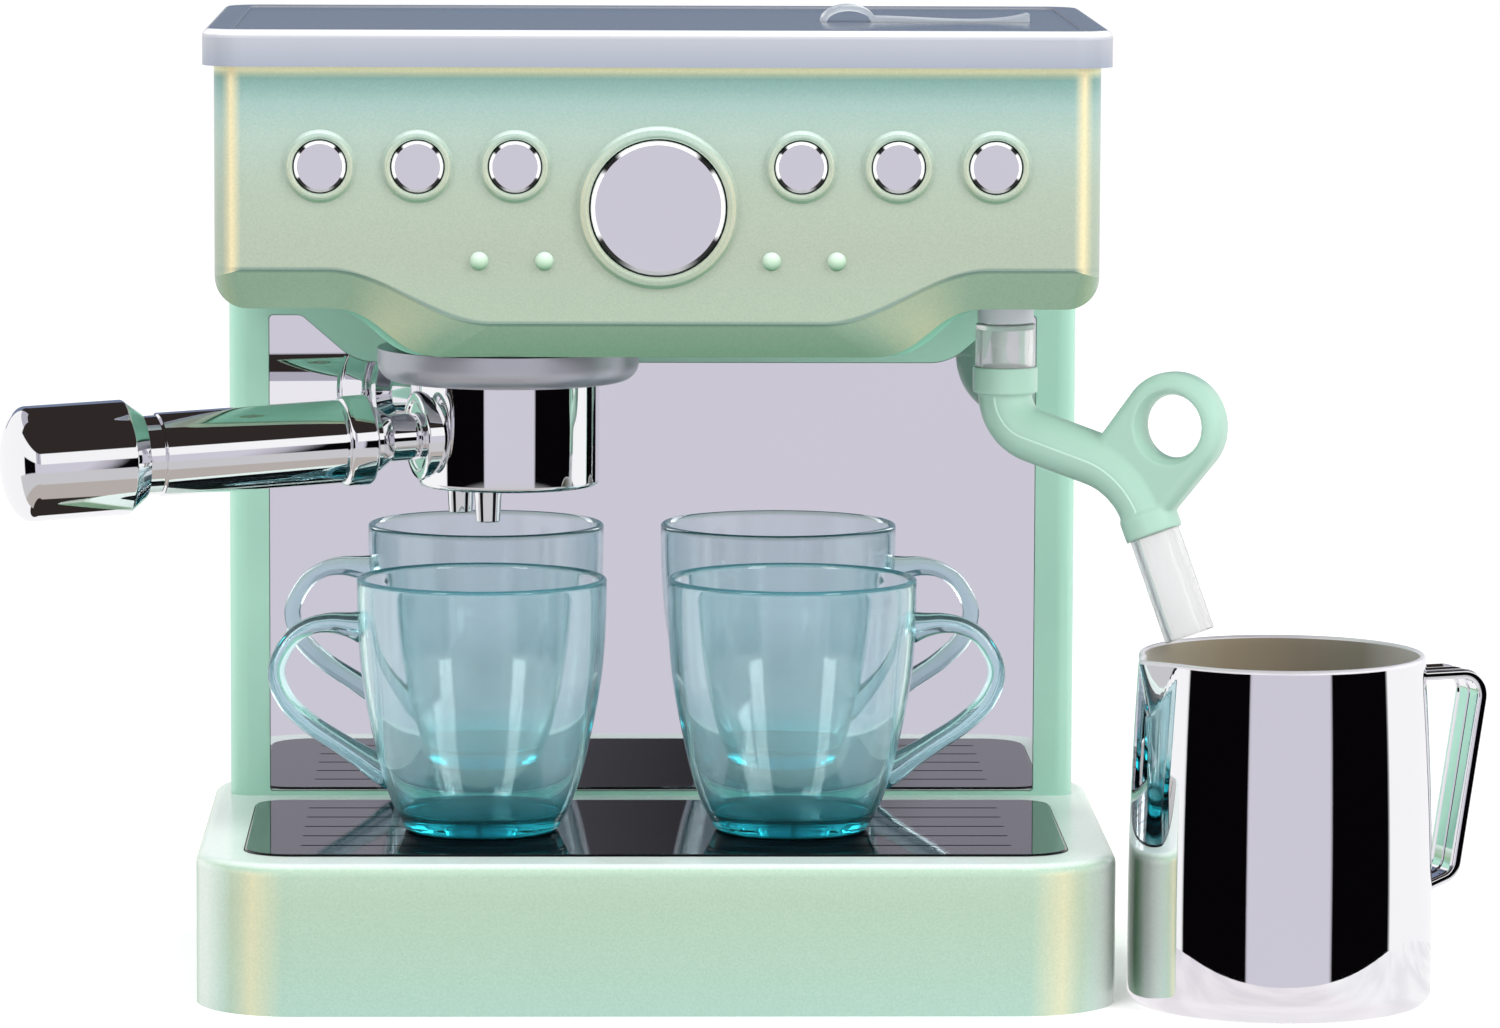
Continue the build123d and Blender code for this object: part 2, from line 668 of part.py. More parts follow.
with BuildPart() as head_underside:
    flange_top = panel_side + PANEL_CORNER_R + PANEL_FLANGE
    with BuildSketch(facing_front(panel_rear)):
        with BuildLine():
            panel_contour(panel_half, panel_side, panel_middle, PANEL_CORNER_R, flange_top)
            panel_contour(
                panel_half - WALL, panel_side + WALL, panel_middle + WALL, PANEL_CORNER_R - WALL, flange_top
            )
            Line((panel_half - WALL, flange_top), (panel_half, flange_top))
            mirror(about=Plane.YZ)
        make_face()
    extrude(amount=panel_rear - panel_front)
    # Turret that holds the group collar, trimmed to the panel's lower face.
    with BuildSketch(Plane.XY.offset(panel_middle)):
        with Locations((GROUP_X, GROUP_Y)):
            Circle(pocket_r + WALL)
        with Locations((GROUP_X, (panel_front + panel_rear) / 2)):
            Rectangle(3 * pocket_r, panel_rear - panel_front, mode=Mode.INTERSECT)
    extrude(amount=COLLAR_TOP + WALL - panel_middle)
    with BuildSketch(facing_front(panel_rear)):
        with BuildLine():
            wave(panel_side, panel_middle, PANEL_SLOPE_OUT, PANEL_SLOPE_IN)
            Line((PANEL_SLOPE_OUT, panel_side), (PANEL_SLOPE_OUT, panel_middle - WALL))
            Line((PANEL_SLOPE_OUT, panel_middle - WALL), (0, panel_middle - WALL))
            mirror(about=Plane.YZ)
        make_face()
    extrude(amount=panel_rear - panel_front, mode=Mode.SUBTRACT)
    with BuildSketch(Plane.XY.offset(COLLAR_TOP - OPEN_CUT)):
        with Locations((GROUP_X, GROUP_Y)):
            Circle(pocket_r)
    extrude(amount=OPEN_CUT, mode=Mode.SUBTRACT)
    cut_circles([(GROUP_X, GROUP_Y)], NIPPLE_R + FIT_GAP, Plane.XY.offset(panel_middle), OPEN_CUT)
    cut_circles([(WAND_X, WAND_Y)], BUSH_R + FIT_GAP, Plane.XY.offset(panel_middle), OPEN_CUT)
    cut_circles(head_bosses, SCREW_R + PART_GAP, Plane.XY.offset(panel_side), WALL)
    cut_circles(
        head_bosses, SCREW_HEAD_R + SCREW_HEAD_GAP, Plane.XY.offset(panel_side), SCREW_HEAD_T + SCREW_HEAD_GAP
    )
save(head_underside.part, "head_underside")

with BuildPart() as underside_screws:
    seat_z = panel_side + SCREW_HEAD_T + SCREW_HEAD_GAP
    add_screws([Plane((x, y, seat_z), z_dir=(0, 0, -1)) for x, y in head_bosses])
    add_screws([Plane((x, y, column_ceiling), z_dir=(0, 0, -1)) for x, y in neck_bosses])
save(underside_screws.part, "underside_screws")

# ---------------------------------------------------------------- carrier plate, valve, tank, hoses
carrier_front = CARRIER_Y - CARRIER_T
with BuildPart() as button_carrier:
    with BuildSketch(facing_front(CARRIER_Y)):
        with Locations((0, (carrier_bottom + carrier_top) / 2)):
            RectangleRounded(2 * CARRIER_HALF, carrier_top - carrier_bottom, TANK_LEDGE)
    extrude(amount=CARRIER_T)
    stem_holes = [(x, SELECT_Z) for x in SELECT_X]
    cut_circles(stem_holes, SELECT_STEM_R + SHAFT_GAP, facing_front(CARRIER_Y), CARRIER_T)
    cut_circles([(0, BREW_Z)], BREW_STEM_R + PART_GAP, facing_front(CARRIER_Y), CARRIER_T)
    cut_circles(carrier_bosses, SCREW_R + PART_GAP, facing_front(CARRIER_Y), CARRIER_T)
save(button_carrier.part, "button_carrier")

with BuildPart() as carrier_screws:
    add_screws([Plane((x, CARRIER_Y, z), z_dir=(0, 1, 0)) for x, z in carrier_bosses])
save(carrier_screws.part, "carrier_screws")

with BuildPart() as valve_body:
    with BuildSketch(facing_front(CARRIER_Y + VALVE_FLANGE_T)):
        with Locations((0, BREW_Z)):
            Circle(VALVE_FLANGE_R)
    extrude(amount=VALVE_FLANGE_T)
    with BuildSketch(facing_front(VALVE_END_Y)):
        with Locations((0, BREW_Z)):
            Circle(VALVE_BODY_R)
    extrude(amount=VALVE_END_Y - CARRIER_Y)
    with BuildSketch(facing_front(VALVE_END_Y + NIPPLE_L)):
        with Locations((0, BREW_Z)):
            Circle(NIPPLE_R)
    extrude(amount=NIPPLE_L + RIB)
    with BuildSketch(Plane((0, VALVE_OUTLET_Y, BREW_Z), z_dir=(0, 0, -1))):
        Circle(NIPPLE_R)
    extrude(amount=VALVE_BODY_R + OUTLET_L)
    with BuildSketch(facing_front(VALVE_END_Y - RIB)):
        with Locations((0, BREW_Z)):
            Circle(BREW_STEM_R + SHAFT_GAP)
    extrude(amount=OPEN_CUT, mode=Mode.SUBTRACT)
    cut_circles([(0, BREW_Z)], NIPPLE_BORE_R, facing_front(VALVE_END_Y + NIPPLE_L), NIPPLE_L + WALL)
    with BuildSketch(Plane((0, VALVE_OUTLET_Y, BREW_Z), z_dir=(0, 0, -1))):
        Circle(NIPPLE_BORE_R)
    extrude(amount=VALVE_BODY_R + OUTLET_L, mode=Mode.SUBTRACT)
save(valve_body.part, "valve_body")

tank_width = 2 * TANK_HALF
with BuildPart() as water_tank:
    with BuildSketch(Plane.XY.offset(TANK_FLOOR)):
        rounded_plan(tank_width, TANK_FRONT, TANK_REAR, TANK_R, TANK_R)
    extrude(amount=TANK_TOP - TANK_FLOOR)
    fillet(water_tank.faces().sort_by(Axis.Z)[0].edges(), RIB)
    with BuildSketch(Plane.XY.offset(ledge_z)):
        flange_width = 2 * (cavity_half - FIT_GAP)
        rounded_plan(flange_width, TANK_FRONT, TANK_REAR, TANK_R, TANK_R)
    extrude(amount=TANK_FLANGE_T)
    with BuildSketch(Plane.XY.offset(TANK_FLOOR + WALL)):
        rounded_plan(tank_width - 2 * WALL, TANK_FRONT + WALL, TANK_REAR - WALL, TANK_R - WALL, TANK_R - WALL)
    extrude(amount=OPEN_CUT, mode=Mode.SUBTRACT)
    with BuildSketch(facing_front(TANK_FRONT + RIB)):
        with Locations((0, BREW_Z)):
            Circle(NIPPLE_R)
    extrude(amount=RIB + NIPPLE_L / 3)
    cut_circles([(0, BREW_Z)], NIPPLE_BORE_R, facing_front(TANK_FRONT + 2 * WALL), OPEN_CUT)
save(water_tank.part, "water_tank")

hose_r = NIPPLE_R + SHAFT_GAP + HOSE_WALL
with BuildPart() as supply_hose:
    with BuildSketch(facing_front(TANK_FRONT)):
        with Locations((0, BREW_Z)):
            Circle(hose_r)
            Circle(NIPPLE_R + SHAFT_GAP, mode=Mode.SUBTRACT)
    extrude(amount=TANK_FRONT - VALVE_END_Y)
save(supply_hose.part, "supply_hose")

collar_nipple_top = COLLAR_TOP + WALL + NIPPLE_L
brew_hose_level = collar_nipple_top + hose_r + NIPPLE_R
with BuildPart() as brew_hose:
    start = (0, VALVE_OUTLET_Y, BREW_Z - VALVE_BODY_R - SHAFT_GAP)
    with BuildLine() as hose_route:
        FilletPolyline(
            start,
            (0, VALVE_OUTLET_Y, brew_hose_level),
            (GROUP_X, GROUP_Y, brew_hose_level),
            (GROUP_X, GROUP_Y, COLLAR_TOP + WALL + SHAFT_GAP),
            radius=2 * NIPPLE_R,
        )
    with BuildSketch(Plane(start, z_dir=(0, 0, -1))):
        Circle(hose_r)
        Circle(NIPPLE_R + SHAFT_GAP, mode=Mode.SUBTRACT)
    sweep()
save(brew_hose.part, "brew_hose")

# ---------------------------------------------------------------- buttons and their springs
flange_front = face_back + PART_GAP / 2
flange_back = flange_front + FLANGE_T


def button(x, z, cap_r, proud, bevel, flange_r, stem_r, stem_end):
    """Cap, retaining flange behind the face, and the guided stem."""
    cap_face = HEAD_FRONT - proud
    extrude(circles([(x, z)], cap_r, facing_front(flange_front)), amount=flange_front - cap_face)
    chamfer(faces().sort_by(Axis.Y)[0].edges(), bevel)
    extrude(circles([(x, z)], flange_r, facing_front(flange_back)), amount=FLANGE_T)
    extrude(circles([(x, z)], stem_r, facing_front(stem_end)), amount=stem_end - flange_back)


def coil_spring(x, z, coil_r, turns, start_y, end_y):
    """Compression spring along Y: a helix between two faces."""
    length = end_y - start_y - WIRE - 2 * SHAFT_GAP
    first = (x, start_y + SHAFT_GAP + WIRE / 2, z)
    with BuildLine() as coil:
        Helix(pitch=length / turns, height=length, radius=coil_r, center=first, direction=(0, 1, 0))
    wire = circles([(0, 0)], WIRE / 2, Plane(coil.line @ 0, z_dir=coil.line % 0))
    sweep(wire, path=coil.line, is_frenet=True)


for number, select_x in enumerate(SELECT_X, start=1):
    with BuildPart() as select_button:
        button(
            select_x,
            SELECT_Z,
            SELECT_CAP_R,
            SELECT_PROUD,
            BREW_BEVEL / 2,
            SELECT_FLANGE_R,
            SELECT_STEM_R,
            CARRIER_Y + SELECT_TRAVEL,
        )
    save(select_button.part, f"select_button_{number}")
    with BuildPart() as select_spring:
        coil_spring(select_x, SELECT_Z, SELECT_COIL_R, SELECT_COILS, flange_back, carrier_front)
    save(select_spring.part, f"select_spring_{number}")

with BuildPart() as brew_button:
    button(
        0,
        BREW_Z,
        BREW_CAP_R,
        BREW_PROUD,
        BREW_BEVEL,
        BREW_FLANGE_R,
        BREW_STEM_R,
        VALVE_END_Y - RIB - BREW_TRAVEL - PART_GAP,
    )
save(brew_button.part, "brew_button")
with BuildPart() as brew_spring:
    coil_spring(0, BREW_Z, BREW_COIL_R, BREW_COILS, flange_back, carrier_front)
save(brew_spring.part, "brew_spring")

# ---------------------------------------------------------------- group collar and portafilter
ledge_top = COLLAR_BOTTOM + COLLAR_LEDGE_T
groove_top = ledge_top + COLLAR_GROOVE_H
group = Plane((GROUP_X, GROUP_Y, 0), x_dir=(1, 0, 0), z_dir=(0, -1, 0))
group_axis = Axis((GROUP_X, GROUP_Y, 0), (0, 0, 1))
lug_angle = HANDLE_TURN + 90


def bayonet_bar(radius, width, angle):
    """Plan of two opposite lugs: a bar through the group axis, cut to a circle."""
    with Locations((GROUP_X, GROUP_Y)):
        Circle(radius)
        Rectangle(2 * radius + width, width, rotation=angle, mode=Mode.INTERSECT)


with BuildPart() as group_collar:
    with BuildSketch(group):
        with BuildLine():
            Line((COLLAR_LEDGE_R, COLLAR_BOTTOM), (COLLAR_R - COLLAR_ROUND, COLLAR_BOTTOM))
            CenterArc((COLLAR_R - COLLAR_ROUND, COLLAR_BOTTOM + COLLAR_ROUND), COLLAR_ROUND, -90, 90)
            Polyline(
                (COLLAR_R, COLLAR_BOTTOM + COLLAR_ROUND),
                (COLLAR_R, COLLAR_TOP),
                (NIPPLE_R, COLLAR_TOP),
                (NIPPLE_R, collar_nipple_top),
                (NIPPLE_BORE_R, collar_nipple_top),
                (NIPPLE_BORE_R, groove_top),
                (COLLAR_GROOVE_R, groove_top),
                (COLLAR_GROOVE_R, ledge_top),
                (COLLAR_LEDGE_R, ledge_top),
                (COLLAR_LEDGE_R, COLLAR_BOTTOM),
            )
        make_face()
    revolve(axis=group_axis)
    with BuildSketch(Plane.XY.offset(COLLAR_BOTTOM)):
        bayonet_bar(COLLAR_GROOVE_R, LUG_WIDTH + 2 * PART_GAP, lug_angle + LUG_ENTRY_TURN)
    extrude(amount=COLLAR_LEDGE_T, mode=Mode.SUBTRACT)
save(group_collar.part, "group_collar")

turn = radians(HANDLE_TURN)
droop = radians(HANDLE_DROOP)
handle_root = Vector(GROUP_X, GROUP_Y, HANDLE_Z)
handle_way = Vector(-cos(turn) * cos(droop), -sin(turn) * cos(droop), -sin(droop))
handle_side = Vector(-sin(turn), cos(turn), 0)
handle_plane = Plane(handle_root, x_dir=handle_way, z_dir=handle_side)
handle_axis = Axis(handle_root, handle_way)
basket_top = ledge_top + COLLAR_GROOVE_H - 2 * PART_GAP
spout_mid = Vector(GROUP_X, GROUP_Y, 0) + Vector(-cos(turn), -sin(turn), 0) * SPOUT_OFFSET
spout_points = [spout_mid + handle_side * (sign * SPOUT_HALF_SPREAD) for sign in (-1, 1)]
socket_start = HANDLE_BOSS_END - WALL

with BuildPart() as portafilter_basket:
    with BuildSketch(Plane.XY.offset(BASKET_BOTTOM)):
        with Locations((GROUP_X, GROUP_Y)):
            Circle(BASKET_R)
    extrude(amount=basket_top - BASKET_BOTTOM)
    fillet(portafilter_basket.faces().sort_by(Axis.Z)[0].edges(), BASKET_ROUND)
    with BuildSketch(Plane(handle_root, z_dir=handle_way)):
        Circle(HANDLE_BOSS_R)
    extrude(amount=HANDLE_BOSS_END)
    with BuildSketch(Plane.XY.offset(ledge_top + PART_GAP)):
        bayonet_bar(LUG_R, LUG_WIDTH, lug_angle)
    extrude(amount=LUG_T)
    for point in spout_points:
        with BuildSketch(Plane((point.X, point.Y, SPOUT_TIP_Z))):
            Circle(SPOUT_TIP_R)
        with BuildSketch(Plane((point.X, point.Y, BASKET_BOTTOM + BASKET_FLOOR_T / 2))):
            Circle(SPOUT_TOP_R)
        loft()
    with BuildSketch(Plane.XY.offset(BASKET_BOTTOM + BASKET_FLOOR_T)):
        with Locations((GROUP_X, GROUP_Y)):
            Circle(BASKET_R - BASKET_WALL)
    extrude(amount=OPEN_CUT, mode=Mode.SUBTRACT)
    cut_circles([(p.X, p.Y) for p in spout_points], SPOUT_BORE_R, Plane.XY.offset(SPOUT_TIP_Z), OPEN_CUT / 4)
    with BuildSketch(Plane(handle_root + handle_way * socket_start, z_dir=handle_way)):
        Circle(NECK_R - RIB)
    extrude(amount=OPEN_CUT, mode=Mode.SUBTRACT)
save(portafilter_basket.part, "portafilter_basket")

with BuildPart() as portafilter_handle:
    with BuildSketch(handle_plane):
        with BuildLine():
            Polyline(
                (socket_start, 0),
                (socket_start, NECK_R - RIB),
                (HANDLE_BOSS_END, NECK_R - RIB),
                (HANDLE_BOSS_END, NECK_R),
                (NECK_END, NECK_R),
                (COLLAR_RING_START - RIB, NECK_R + WALL),
                (COLLAR_RING_START, NECK_R + WALL),
                (COLLAR_RING_START, COLLAR_RING_R - 1),
            )
            CenterArc((COLLAR_RING_START + 1, COLLAR_RING_R - 1), 1, 90, 90)
            Line((COLLAR_RING_START + 1, COLLAR_RING_R), (COLLAR_RING_END - 1, COLLAR_RING_R))
            CenterArc((COLLAR_RING_END - 1, COLLAR_RING_R - 1), 1, 0, 90)
            Polyline(
                (COLLAR_RING_END, COLLAR_RING_R - 1),
                (COLLAR_RING_END, GRIP_R - 0.4),
                (COLLAR_RING_END + 1, GRIP_R),
                (GRIP_END, GRIP_R),
                (GRIP_END, GROOVE_R),
                (GROOVE_END, GROOVE_R),
                (GROOVE_END, SPIGOT_R),
                (GROOVE_END + SPIGOT_L, SPIGOT_R),
                (GROOVE_END + SPIGOT_L, 0),
                (socket_start, 0),
            )
        make_face()
    revolve(axis=handle_axis)
save(portafilter_handle.part, "portafilter_handle")

with BuildPart() as handle_end_cap:
    with BuildSketch(handle_plane):
        socket_end = GROOVE_END + SPIGOT_L + SHAFT_GAP
        with BuildLine():
            Polyline(
                (KNOB_END, 0),
                (socket_end, 0),
                (socket_end, SPIGOT_R + SHAFT_GAP),
                (GROOVE_END + SHAFT_GAP, SPIGOT_R + SHAFT_GAP),
                (GROOVE_END + SHAFT_GAP, KNOB_START_R),
                (KNOB_CONE_END, KNOB_R),
                (KNOB_DOME_START, KNOB_R),
            )
            dome_l = KNOB_END - KNOB_DOME_START
            EllipticalCenterArc((KNOB_DOME_START, 0), dome_l, KNOB_R, start_angle=0, arc_size=90)
        make_face()
    revolve(axis=handle_axis)
save(handle_end_cap.part, "handle_end_cap")

# ---------------------------------------------------------------- steam wand
swing = radians(WAND_SWING)
wand_way = Vector(cos(swing), -sin(swing), 0)
wand_level = panel_side - WAND_COLLAR_DROP
wand_plane = Plane((WAND_X, WAND_Y, wand_level), x_dir=wand_way, z_dir=(-sin(swing), -cos(swing), 0))
tip_run = Vector(ELBOW_END[0] - ELBOW_CORNER_2[0], ELBOW_END[1] - ELBOW_CORNER_2[1], 0).normalized()
tip_lean = asin(tip_run.X)
bush_bottom = panel_side - BUSH_DROP
bush_top = panel_side + 2 * WALL
wand_top = bush_bottom - PART_GAP
tube_foot = wand_level - WAND_SOCKET


def wand_point(s, z):
    """Point of the wand's own plane, s out from the pivot and z up from the top of the wand's collar."""
    return Vector(WAND_X, WAND_Y, wand_level + z) + wand_way * s


tip_way = wand_way * tip_run.X + Vector(0, 0, tip_run.Y)
elbow_tip = wand_point(*ELBOW_END)
lower_tube_top = elbow_tip - tip_way * WAND_SOCKET
tip_level = JUG_HEIGHT + LOWER_TUBE_GAP + LOWER_TUBE_R * sin(tip_lean)
lower_tube_length = (lower_tube_top.Z - tip_level) / cos(tip_lean)

with BuildPart() as wand_bush:
    with BuildSketch(Plane.XY.offset(bush_bottom)):
        with Locations((WAND_X, WAND_Y)):
            Circle(BUSH_R)
    extrude(amount=bush_top - bush_bottom)
    with BuildSketch(Plane.XY.offset(panel_side + WALL)):
        with Locations((WAND_X, WAND_Y)):
            Circle(BUSH_FLANGE_R)
    extrude(amount=WALL)
    cut_circles([(WAND_X, WAND_Y)], BUSH_BORE_R, Plane.XY.offset(bush_bottom), OPEN_CUT)
save(wand_bush.part, "wand_bush")

with BuildPart() as wand_upper_tube:
    with BuildSketch(Plane.XY.offset(tube_foot)):
        with Locations((WAND_X, WAND_Y)):
            Circle(WAND_TUBE_R)
    extrude(amount=wand_top - tube_foot)
    with BuildSketch(Plane.XY.offset(tube_foot)):
        with Locations((WAND_X, WAND_Y)):
            Circle(WAND_TUBE_R - WAND_TUBE_WALL)
    extrude(amount=wand_top - tube_foot - WAND_TUBE_WALL, mode=Mode.SUBTRACT)
    with BuildSketch(Plane.XY.offset(wand_top)):
        with Locations((WAND_X, WAND_Y)):
            Circle(BUSH_BORE_R - SHAFT_GAP)
    extrude(amount=bush_top + PART_GAP - wand_top)
    with BuildSketch(Plane.XY.offset(bush_top + PART_GAP)):
        with Locations((WAND_X, WAND_Y)):
            Circle(BUSH_BORE_R + 1)
    extrude(amount=RIB, taper=20)
save(wand_upper_tube.part, "wand_upper_tube")

with BuildPart() as wand_elbow:
    with BuildSketch(wand_plane.offset(-RING_T / 2)):
        with Locations(RING_CENTRE):
            Circle(RING_R)
        with Locations(RING_WEB_1, RING_WEB_2):
            Circle(RING_WEB_R)
        make_hull()
    extrude(amount=RING_T)
    rim_edges = [edge for edge in wand_elbow.edges() if abs(edge.tangent_at(0.5).dot(wand_plane.z_dir)) < 0.5]
    fillet(rim_edges, RING_ROUND)
    with BuildSketch(wand_plane.offset(-RING_T / 2)):
        with Locations(RING_CENTRE):
            Circle(RING_HOLE_R)
    extrude(amount=RING_T, mode=Mode.SUBTRACT)
    with BuildLine() as elbow_path:
        FilletPolyline(
            wand_point(0, RIB - WAND_COLLAR_L),
            wand_point(*ELBOW_CORNER_1),
            wand_point(*ELBOW_CORNER_2),
            elbow_tip,
            radius=[ELBOW_BEND_1, ELBOW_BEND_2],
        )
    with BuildSketch(Plane(elbow_path.line @ 0, z_dir=elbow_path.line % 0)):
        Circle(ELBOW_R)
    sweep()
    with BuildSketch(Plane.XY.offset(wand_level)):
        with Locations((WAND_X, WAND_Y)):
            Circle(WAND_COLLAR_R)
    extrude(amount=-WAND_COLLAR_L)
    with BuildSketch(Plane(elbow_tip, z_dir=-tip_way)):
        Circle(END_COLLAR_R)
    extrude(amount=END_COLLAR_L)
    with BuildSketch(Plane.XY.offset(tube_foot)):
        with Locations((WAND_X, WAND_Y)):
            Circle(WAND_TUBE_R + SHAFT_GAP)
    extrude(amount=WAND_SOCKET, mode=Mode.SUBTRACT)
    with BuildSketch(Plane(elbow_tip, z_dir=-tip_way)):
        Circle(LOWER_TUBE_R + SHAFT_GAP)
    extrude(amount=WAND_SOCKET, mode=Mode.SUBTRACT)
save(wand_elbow.part, "wand_elbow")

with BuildPart() as wand_lower_tube:
    with BuildSketch(Plane(lower_tube_top, z_dir=tip_way)):
        Circle(LOWER_TUBE_R)
        Circle(LOWER_TUBE_R - LOWER_TUBE_WALL, mode=Mode.SUBTRACT)
    extrude(amount=lower_tube_length)
save(wand_lower_tube.part, "wand_lower_tube")

# ---------------------------------------------------------------- cups
cup_z = tray_top + REST_GAP
for cup_name, cup_x, outward in (("cup_left", CUP_X[0], -1), ("cup_right", CUP_X[1], 1)):
    cup_plane = Plane((cup_x, CUP_Y, cup_z), x_dir=(outward, 0, 0), z_dir=(0, -outward, 0))
    cup_axis = Axis((cup_x, CUP_Y, cup_z), (0, 0, 1))
    with BuildPart() as cup:
        with BuildSketch(cup_plane):
            with BuildLine():
                Polyline((CUP_RIM_R, CUP_HEIGHT), (0, CUP_HEIGHT), (0, 0), (CUP_FOOT_R - CUP_FOOT_ROUND, 0))
                Line((CUP_FOOT_R - CUP_FOOT_ROUND, 0), (CUP_FOOT_R, CUP_FOOT_ROUND))
                Spline((CUP_FOOT_R, CUP_FOOT_ROUND), *CUP_BELLY, (CUP_RIM_R, CUP_HEIGHT))
            make_face()
        revolve(axis=cup_axis)
        with BuildLine(cup_plane) as cup_handle:
            FilletPolyline(*CUP_HANDLE, radius=list(CUP_HANDLE_BENDS))
        with BuildSketch(Plane(cup_handle.line @ 0, x_dir=(0, 1, 0), z_dir=cup_handle.line % 0)):
            Ellipse(CUP_HANDLE_HALF_W, CUP_HANDLE_HALF_T)
        sweep()
        with BuildSketch(cup_plane):
            with BuildLine():
                inner_belly = [(r - CUP_WALL, z) for r, z in CUP_BELLY if z > CUP_FLOOR_T]
                inner_foot = (CUP_FOOT_R - CUP_WALL, CUP_FLOOR_T)
                Spline(inner_foot, *inner_belly, (CUP_RIM_R - CUP_WALL, CUP_HEIGHT))
                Polyline((CUP_RIM_R - CUP_WALL, CUP_HEIGHT), (0, CUP_HEIGHT), (0, CUP_FLOOR_T), inner_foot)
            make_face()
        revolve(axis=cup_axis, mode=Mode.SUBTRACT)
    save(cup.part, cup_name)

# ---------------------------------------------------------------- milk jug
jug_turn = radians(JUG_TURN)
jug_way = Vector(cos(jug_turn), sin(jug_turn), 0)
jug_plane = Plane((JUG_X, JUG_Y, 0), x_dir=jug_way, z_dir=(sin(jug_turn), -cos(jug_turn), 0))
jug_axis = Axis((JUG_X, JUG_Y, 0), (0, 0, 1))


def jug_side(inset, foot):
    """Side of the jug: bellied below, drawn in to the rim, moved in by the wall."""
    belly = (JUG_BELLY_R - inset, JUG_BELLY_Z)
    ThreePointArc((JUG_BOTTOM_R - inset, foot), belly, (JUG_RIM_R - inset, JUG_HEIGHT))


def beak_section(level, reach):
    """Triangle of the pouring beak at a level, its point at the given reach. Its sides keep their slope."""
    root = JUG_RIM_R - 3 * JUG_WALL
    spread = JUG_BEAK_HALF * (reach - root) / (JUG_BEAK_REACH - root)
    with BuildSketch(Plane((JUG_X, JUG_Y, level), x_dir=-jug_way)) as section:
        with BuildLine():
            Polyline((root, spread), (root, -spread), (reach, 0), close=True)
        make_face()
    return section.sketch


with BuildPart() as jug_body:
    with BuildSketch(jug_plane):
        with BuildLine():
            jug_side(0, JUG_ROUND)
            Polyline((JUG_RIM_R, JUG_HEIGHT), (0, JUG_HEIGHT), (0, 0), (JUG_BOTTOM_R - JUG_ROUND, 0))
            CenterArc((JUG_BOTTOM_R - JUG_ROUND, JUG_ROUND), JUG_ROUND, -90, 90)
        make_face()
    revolve(axis=jug_axis)
    # The pouring beak: an angular wedge that runs out of the side up to the rim.
    low_level = JUG_HEIGHT - JUG_BEAK_DROP
    loft([beak_section(JUG_HEIGHT, JUG_BEAK_REACH), beak_section(low_level, JUG_RIM_R)], ruled=True)
    with BuildSketch(jug_plane):
        with BuildLine():
            jug_side(JUG_WALL, JUG_FLOOR_T)
            Polyline(
                (JUG_RIM_R - JUG_WALL, JUG_HEIGHT),
                (0, JUG_HEIGHT),
                (0, JUG_FLOOR_T),
                (JUG_BOTTOM_R - JUG_WALL, JUG_FLOOR_T),
            )
        make_face()
    revolve(axis=jug_axis, mode=Mode.SUBTRACT)
    inner_beak = [
        beak_section(JUG_HEIGHT + REST_GAP, JUG_BEAK_REACH - JUG_BEAK_WALL),
        beak_section(low_level + JUG_WALL, JUG_RIM_R - JUG_BEAK_WALL),
    ]
    loft(inner_beak, ruled=True, mode=Mode.SUBTRACT)
save(jug_body.part, "jug_body")

with BuildPart() as jug_handle:
    with BuildLine(jug_plane) as strap_path:
        FilletPolyline(*JUG_STRAP, radius=list(JUG_STRAP_BENDS))
    with BuildSketch(Plane(strap_path.line @ 0, x_dir=jug_plane.z_dir, z_dir=strap_path.line % 0)):
        Rectangle(JUG_STRAP_W, JUG_STRAP_T - 2 * JUG_STRAP_RIB_H)
        with Locations(*[(sign * (JUG_STRAP_W - JUG_STRAP_RIB_W) / 2, 0) for sign in (-1, 1)]):
            Rectangle(JUG_STRAP_RIB_W, JUG_STRAP_T)
    sweep()
    with BuildSketch(jug_plane):
        with BuildLine():
            jug_side(-SHAFT_GAP, JUG_ROUND)
            Polyline(
                (JUG_RIM_R + SHAFT_GAP, JUG_HEIGHT),
                (0, JUG_HEIGHT),
                (0, JUG_ROUND),
                (JUG_BOTTOM_R + SHAFT_GAP, JUG_ROUND),
            )
        make_face()
    revolve(axis=jug_axis, mode=Mode.SUBTRACT)
save(jug_handle.part, "jug_handle")

# ---------------------------------------------------------------- lid and its tab
lid_half = head_half + LID_OVERHANG
lid_front = HEAD_FRONT - LID_FRONT_OVERHANG
lid_rear = HEAD_REAR + LID_FRONT_OVERHANG
lid_ceiling = HEAD_TOP + REST_GAP
panel_top = LID_TOP - LID_PANEL_SUNK

